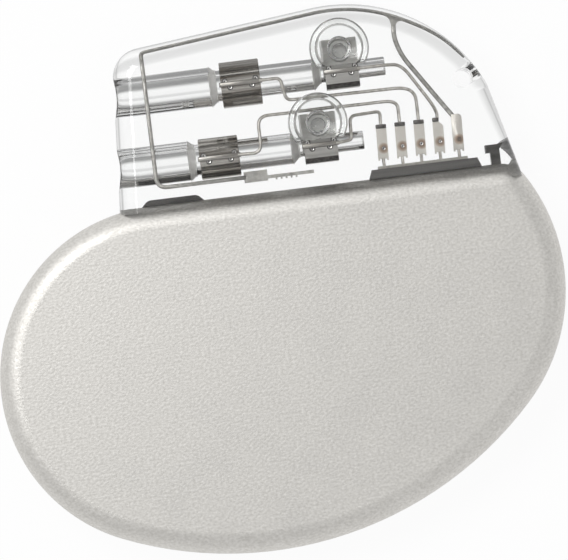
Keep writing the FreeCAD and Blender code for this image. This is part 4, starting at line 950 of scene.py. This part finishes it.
def bandStations():
    # from the right end round the crown, along the top line, down the left leg and along its foot
    radius = header["crownRadius"] - antenna["depth"] - antenna["width"] / 2
    slope = math.radians(header["topSlope"])
    steps, topZ = antenna["crownSteps"], antenna["topZ"]
    first, last = math.radians(90 - antenna["rightAngle"]), quarterTurn + slope
    stations = []
    for step in range(steps + 1):
        angle = first + (last - first) * step / steps
        share = min(1, max(0, (antenna["easeStart"] - math.degrees(angle)) / antenna["easeLength"]))
        share = share * share * (3 - 2 * share)
        reach = radius + share * antenna["easeOut"]
        taper = min(1, antenna["endWidth"] + (1 - antenna["endWidth"]) * step / antenna["endSteps"])
        x = header["crownX"] + reach * math.cos(angle)
        y = header["crownY"] + reach * math.sin(angle)
        width = antenna["width"] * taper + share * antenna["easeWide"]
        stations.append((x, y, topZ - share * antenna["easeDown"], width))
    legX = antenna["leftX"] + antenna["width"] / 2
    bends = [(x, y, 0, 0), (legX, y - (x - legX) * math.tan(slope), 0, antenna["cornerBend"]),
            (legX, antenna["footY"], 0, antenna["footBend"]),
            (antenna["footEndX"], antenna["footY"], 0, 0)]
    for spot in roundedLine(bends, antenna["bendSteps"])[1:]:
        stations.append((spot.x, spot.y, topZ, antenna["width"]))
    return stations


def bandLowY(x):
    radius = header["crownRadius"] - antenna["depth"] - antenna["width"]
    return header["crownY"] + otherLeg(radius, x - header["crownX"])


def branchStations():
    # down from the band to the last plate, falling back to the plate's plane on the way
    x, topY = antenna["branchX"], bandLowY(antenna["branchX"])
    corner = tabPoint(lastTab, -tab["width"] / 2, tab["length"])
    across, up = antenna["branchEnd"]
    points = [(x + aside, topY + above, 0, reach) for aside, above, reach in antenna["branchRoute"]]
    points.append((corner[0] + across, corner[1] + up, 0, 0))
    line = roundedLine(points, antenna["branchBendSteps"])
    along = (line[-1] - line[0]) / (line[-1] - line[0]).length
    spots = []
    for before, after in zip(line, line[1:]):
        pieces = max(1, round((after - before).length / antenna["branchRun"]))
        spots += [before.lerp(after, step / pieces) for step in range(pieces)]
    low, high = tab["backZ"] + tab["thickness"] - antenna["branchSunk"], antenna["topZ"]
    slopeStart, slopeEnd = antenna["slopeStart"], antenna["slopeEnd"]
    stations = []
    for spot in spots + [line[-1]]:
        share = ((spot - line[0]).dot(along) - slopeStart) / (slopeEnd - slopeStart)
        z = high + (low - high) * min(max(share, 0), 1)
        stations.append((spot.x, spot.y, z, antenna["branchWidth"]))
    return stations


def branchFillets():
    # the web that joins the branch to the band, hollowed by a fillet on each side
    crown = Vector((header["crownX"], header["crownY"]))
    lowRadius = header["crownRadius"] - antenna["depth"] - antenna["width"]
    steps = antenna["filletSteps"]
    outline = []
    for side, radius in ((-1, antenna["leftFillet"]), (1, antenna["rightFillet"])):
        x = antenna["branchX"] + side * antenna["branchWidth"] / 2 + side * radius
        centre = Vector((x, crown.y + otherLeg(lowRadius - radius, x - crown.x)))
        first = 0 if side < 0 else math.pi
        last = math.atan2(centre.y - crown.y, centre.x - crown.x)
        arc = []
        for step in range(steps + 1):
            angle = first + (last - first) * step / steps
            arc.append(centre + radius * Vector((math.cos(angle), math.sin(angle))))
        arc.append(arc[-1] + (arc[-1] - crown).normalized() * antenna["width"] / 2)
        outline += arc if side < 0 else arc[::-1]
    topZ = antenna["topZ"]
    return outlineSolid(outline, topZ - antenna["sheet"], topZ + antenna["filletProud"])


def antennaStrip():
    bm = flatStrip(bandStations(), antenna["sheet"])
    addTo(bm, flatStrip(branchStations(), antenna["sheet"]))
    addTo(bm, branchFillets())
    addTo(bm, tabPlate(lastTab), 1)
    finishPiece("antennaStrip", bm, ["antenna", "plate"], ["antenna"],
            smoothBelow=50, evenNormals=False)


antennaStrip()
print("antenna made")


# Left bracket: a low plate on the can's edge, its upper corners rounded

bracket = {"x": -10.86, "foot": 5.47, "top": 4.4, "height": 0.55, "width": 2.4, "rounding": 0.3}


def anchorBracket():
    lowX, highX = bracket["x"], bracket["x"] + bracket["foot"]
    lowY, highY = can["topY"], can["topY"] + bracket["height"]
    slant = (bracket["foot"] - bracket["top"]) / 2
    bm = outlineSolid([(lowX, lowY), (highX, lowY), (highX - slant, highY), (lowX + slant, highY)],
            middleZ - bracket["width"] / 2, middleZ + bracket["width"] / 2)
    corners = [edge for edge in edgesWhere(bm, lambda place: place.y > highY - tiny)
            if abs(edge.verts[0].co.x - edge.verts[1].co.x) < tiny]
    bevelEdges(bm, corners, bracket["rounding"], 5)
    finishPiece("anchorBracketLeft", bm, ["bracket"], ["anchor_bracket_left"])


anchorBracket()
print("bracket made")


# Floor and backdrop

floor = {"colour": (0.86, 0.86, 0.86), "roughness": 0.8, "whiteShare": 0.93, "halfWidth": 1.5}


def paleFloor():
    # mostly white to the camera and in reflections, and open to light that has passed the casting
    material, tree, shader = surface("paleFloor", floor["colour"], 0.0, floor["roughness"])
    path = addNode(tree, "LightPath")
    glow = addNode(tree, "Emission", Color=(1, 1, 1, 1), Strength=1.0)
    either = addNode(tree, "Math", operation="MAXIMUM")
    share = addNode(tree, "Math", operation="MULTIPLY")
    share.inputs[1].default_value = floor["whiteShare"]
    blend = addNode(tree, "MixShader")
    opening = addNode(tree, "BsdfTransparent")
    lookThrough = addNode(tree, "MixShader")
    connect(
        tree,
        (path.outputs["Is Camera Ray"], either.inputs[0]),
        (path.outputs["Is Glossy Ray"], either.inputs[1]),
        (either.outputs["Value"], share.inputs[0]),
        (share.outputs["Value"], blend.inputs["Fac"]),
        (shader.outputs["BSDF"], blend.inputs[1]),
        (glow.outputs["Emission"], blend.inputs[2]),
        (path.outputs["Is Transmission Ray"], lookThrough.inputs["Fac"]),
        (blend.outputs["Shader"], lookThrough.inputs[1]),
        (opening.outputs["BSDF"], lookThrough.inputs[2]),
        (lookThrough.outputs["Shader"], tree.nodes["Material Output"].inputs["Surface"]),
    )
    return material


sheet = bmesh.new()
bmesh.ops.create_grid(sheet, x_segments=1, y_segments=1, size=floor["halfWidth"])
floorObject = looseObject("floor", sheet)
floorObject.data.materials.append(paleFloor())


# Light: a soft room in grey bands that run along X, and soft boxes above

room = {
    # each band: its place round the X axis and its level. 0 and 1 lie straight below, 0.25 is level
    # with the floor on the can's side, 0.5 straight above and 0.75 level on the header's side
    "bands": [
        (0.0, 1.0), (0.008, 1.0), (0.02, 0.8), (0.042, 0.76), (0.06, 1.0), (0.1, 0.9),
        (0.15, 0.4), (0.23, 0.25), (0.255, 0.8), (0.34, 0.76), (0.43, 0.56), (0.5, 0.5),
        (0.572, 0.52), (0.592, 1.0), (0.612, 0.55), (0.7, 0.85), (0.745, 0.95), (0.765, 0.5),
        (0.785, 0.3), (0.84, 0.3), (0.9, 0.34), (0.945, 1.0), (1.0, 1.0),
    ],
    # both ends of the room: grey below the floor's level and bright above it, by height from 0 to 1
    "ends": [(0.0, 0.45), (0.49, 0.45), (0.51, 0.74), (1.0, 0.74)],
    # how much of an end shows, by the distance towards it
    "towardsEnd": [(0.3, 0.0), (0.48, 0.2), (0.56, 0.9), (0.64, 0.35), (0.9, 1.0)],
}
lamps = {
    "key": {"place": (-0.12, 0.1, 0.22), "size": (0.15, 0.12), "power": 0.32},
    "fill": {"place": (0.3, -0.25, 0.5), "size": (0.4, 0.25), "power": 0.15},
}


def softRoom():
    world = bpy.data.worlds.new("room")
    world.use_nodes = True
    tree = world.node_tree
    place = addNode(tree, "TexCoord")
    parts = addNode(tree, "SeparateXYZ")
    angle = addNode(tree, "Math", operation="ARCTAN2")
    turn = addNode(tree, "MapRange")
    turn.inputs["From Min"].default_value = -math.pi
    turn.inputs["From Max"].default_value = math.pi
    aside = addNode(tree, "Math", operation="ABSOLUTE")
    height = addNode(tree, "Math", operation="MULTIPLY_ADD")
    height.inputs[1].default_value = 0.5
    height.inputs[2].default_value = 0.5
    reachEnd = addNode(tree, "Mix", data_type="RGBA")
    path = addNode(tree, "LightPath")
    whiten = addNode(tree, "Mix", data_type="RGBA")
    whiten.inputs[7].default_value = (1, 1, 1, 1)
    connect(
        tree,
        (place.outputs["Generated"], parts.inputs["Vector"]),
        (parts.outputs["Y"], angle.inputs[0]),
        (parts.outputs["Z"], angle.inputs[1]),
        (angle.outputs["Value"], turn.inputs["Value"]),
        (parts.outputs["X"], aside.inputs[0]),
        (parts.outputs["Z"], height.inputs[0]),
        (ramp(tree, aside.outputs["Value"], room["towardsEnd"]), reachEnd.inputs["Factor"]),
        (ramp(tree, turn.outputs["Result"], room["bands"]), reachEnd.inputs[6]),
        (ramp(tree, height.outputs["Value"], room["ends"]), reachEnd.inputs[7]),
        (path.outputs["Is Camera Ray"], whiten.inputs["Factor"]),
        (reachEnd.outputs[2], whiten.inputs[6]),
        (whiten.outputs[2], tree.nodes["Background"].inputs["Color"]),
    )
    return world


bpy.context.scene.world = softRoom()
for name, lamp in lamps.items():
    light = bpy.data.lights.new(name, "AREA")
    light.shape = "RECTANGLE"
    light.size, light.size_y = lamp["size"]
    light.energy = lamp["power"]
    thing = bpy.data.objects.new(name, light)
    thing.location = lamp["place"]
    thing.rotation_euler = (-Vector(lamp["place"])).to_track_quat("-Z", "Y").to_euler()
    bpy.context.scene.collection.objects.link(thing)


# Camera: straight above, with the object's turn in the photograph

view = {"centreX": 0.66, "centreY": 0.08, "width": 49.81, "turn": -7.0, "lens": 250.0, "sensor": 36.0,
        "nearest": 0.01, "furthest": 10}

camera = bpy.data.cameras.new("camera")
camera.lens = view["lens"]
camera.sensor_width = view["sensor"]
camera.clip_start = view["nearest"]
camera.clip_end = view["furthest"]
distance = view["lens"] / view["sensor"] * view["width"]
cameraObject = bpy.data.objects.new("camera", camera)
cameraObject.location = Vector((view["centreX"], view["centreY"], middleZ + distance)) * mm
cameraObject.rotation_euler = (0, 0, math.radians(view["turn"]))
bpy.context.scene.collection.objects.link(cameraObject)
bpy.context.scene.camera = cameraObject
bpy.context.scene.view_settings.view_transform = "Standard"
print("floor, light and camera set")
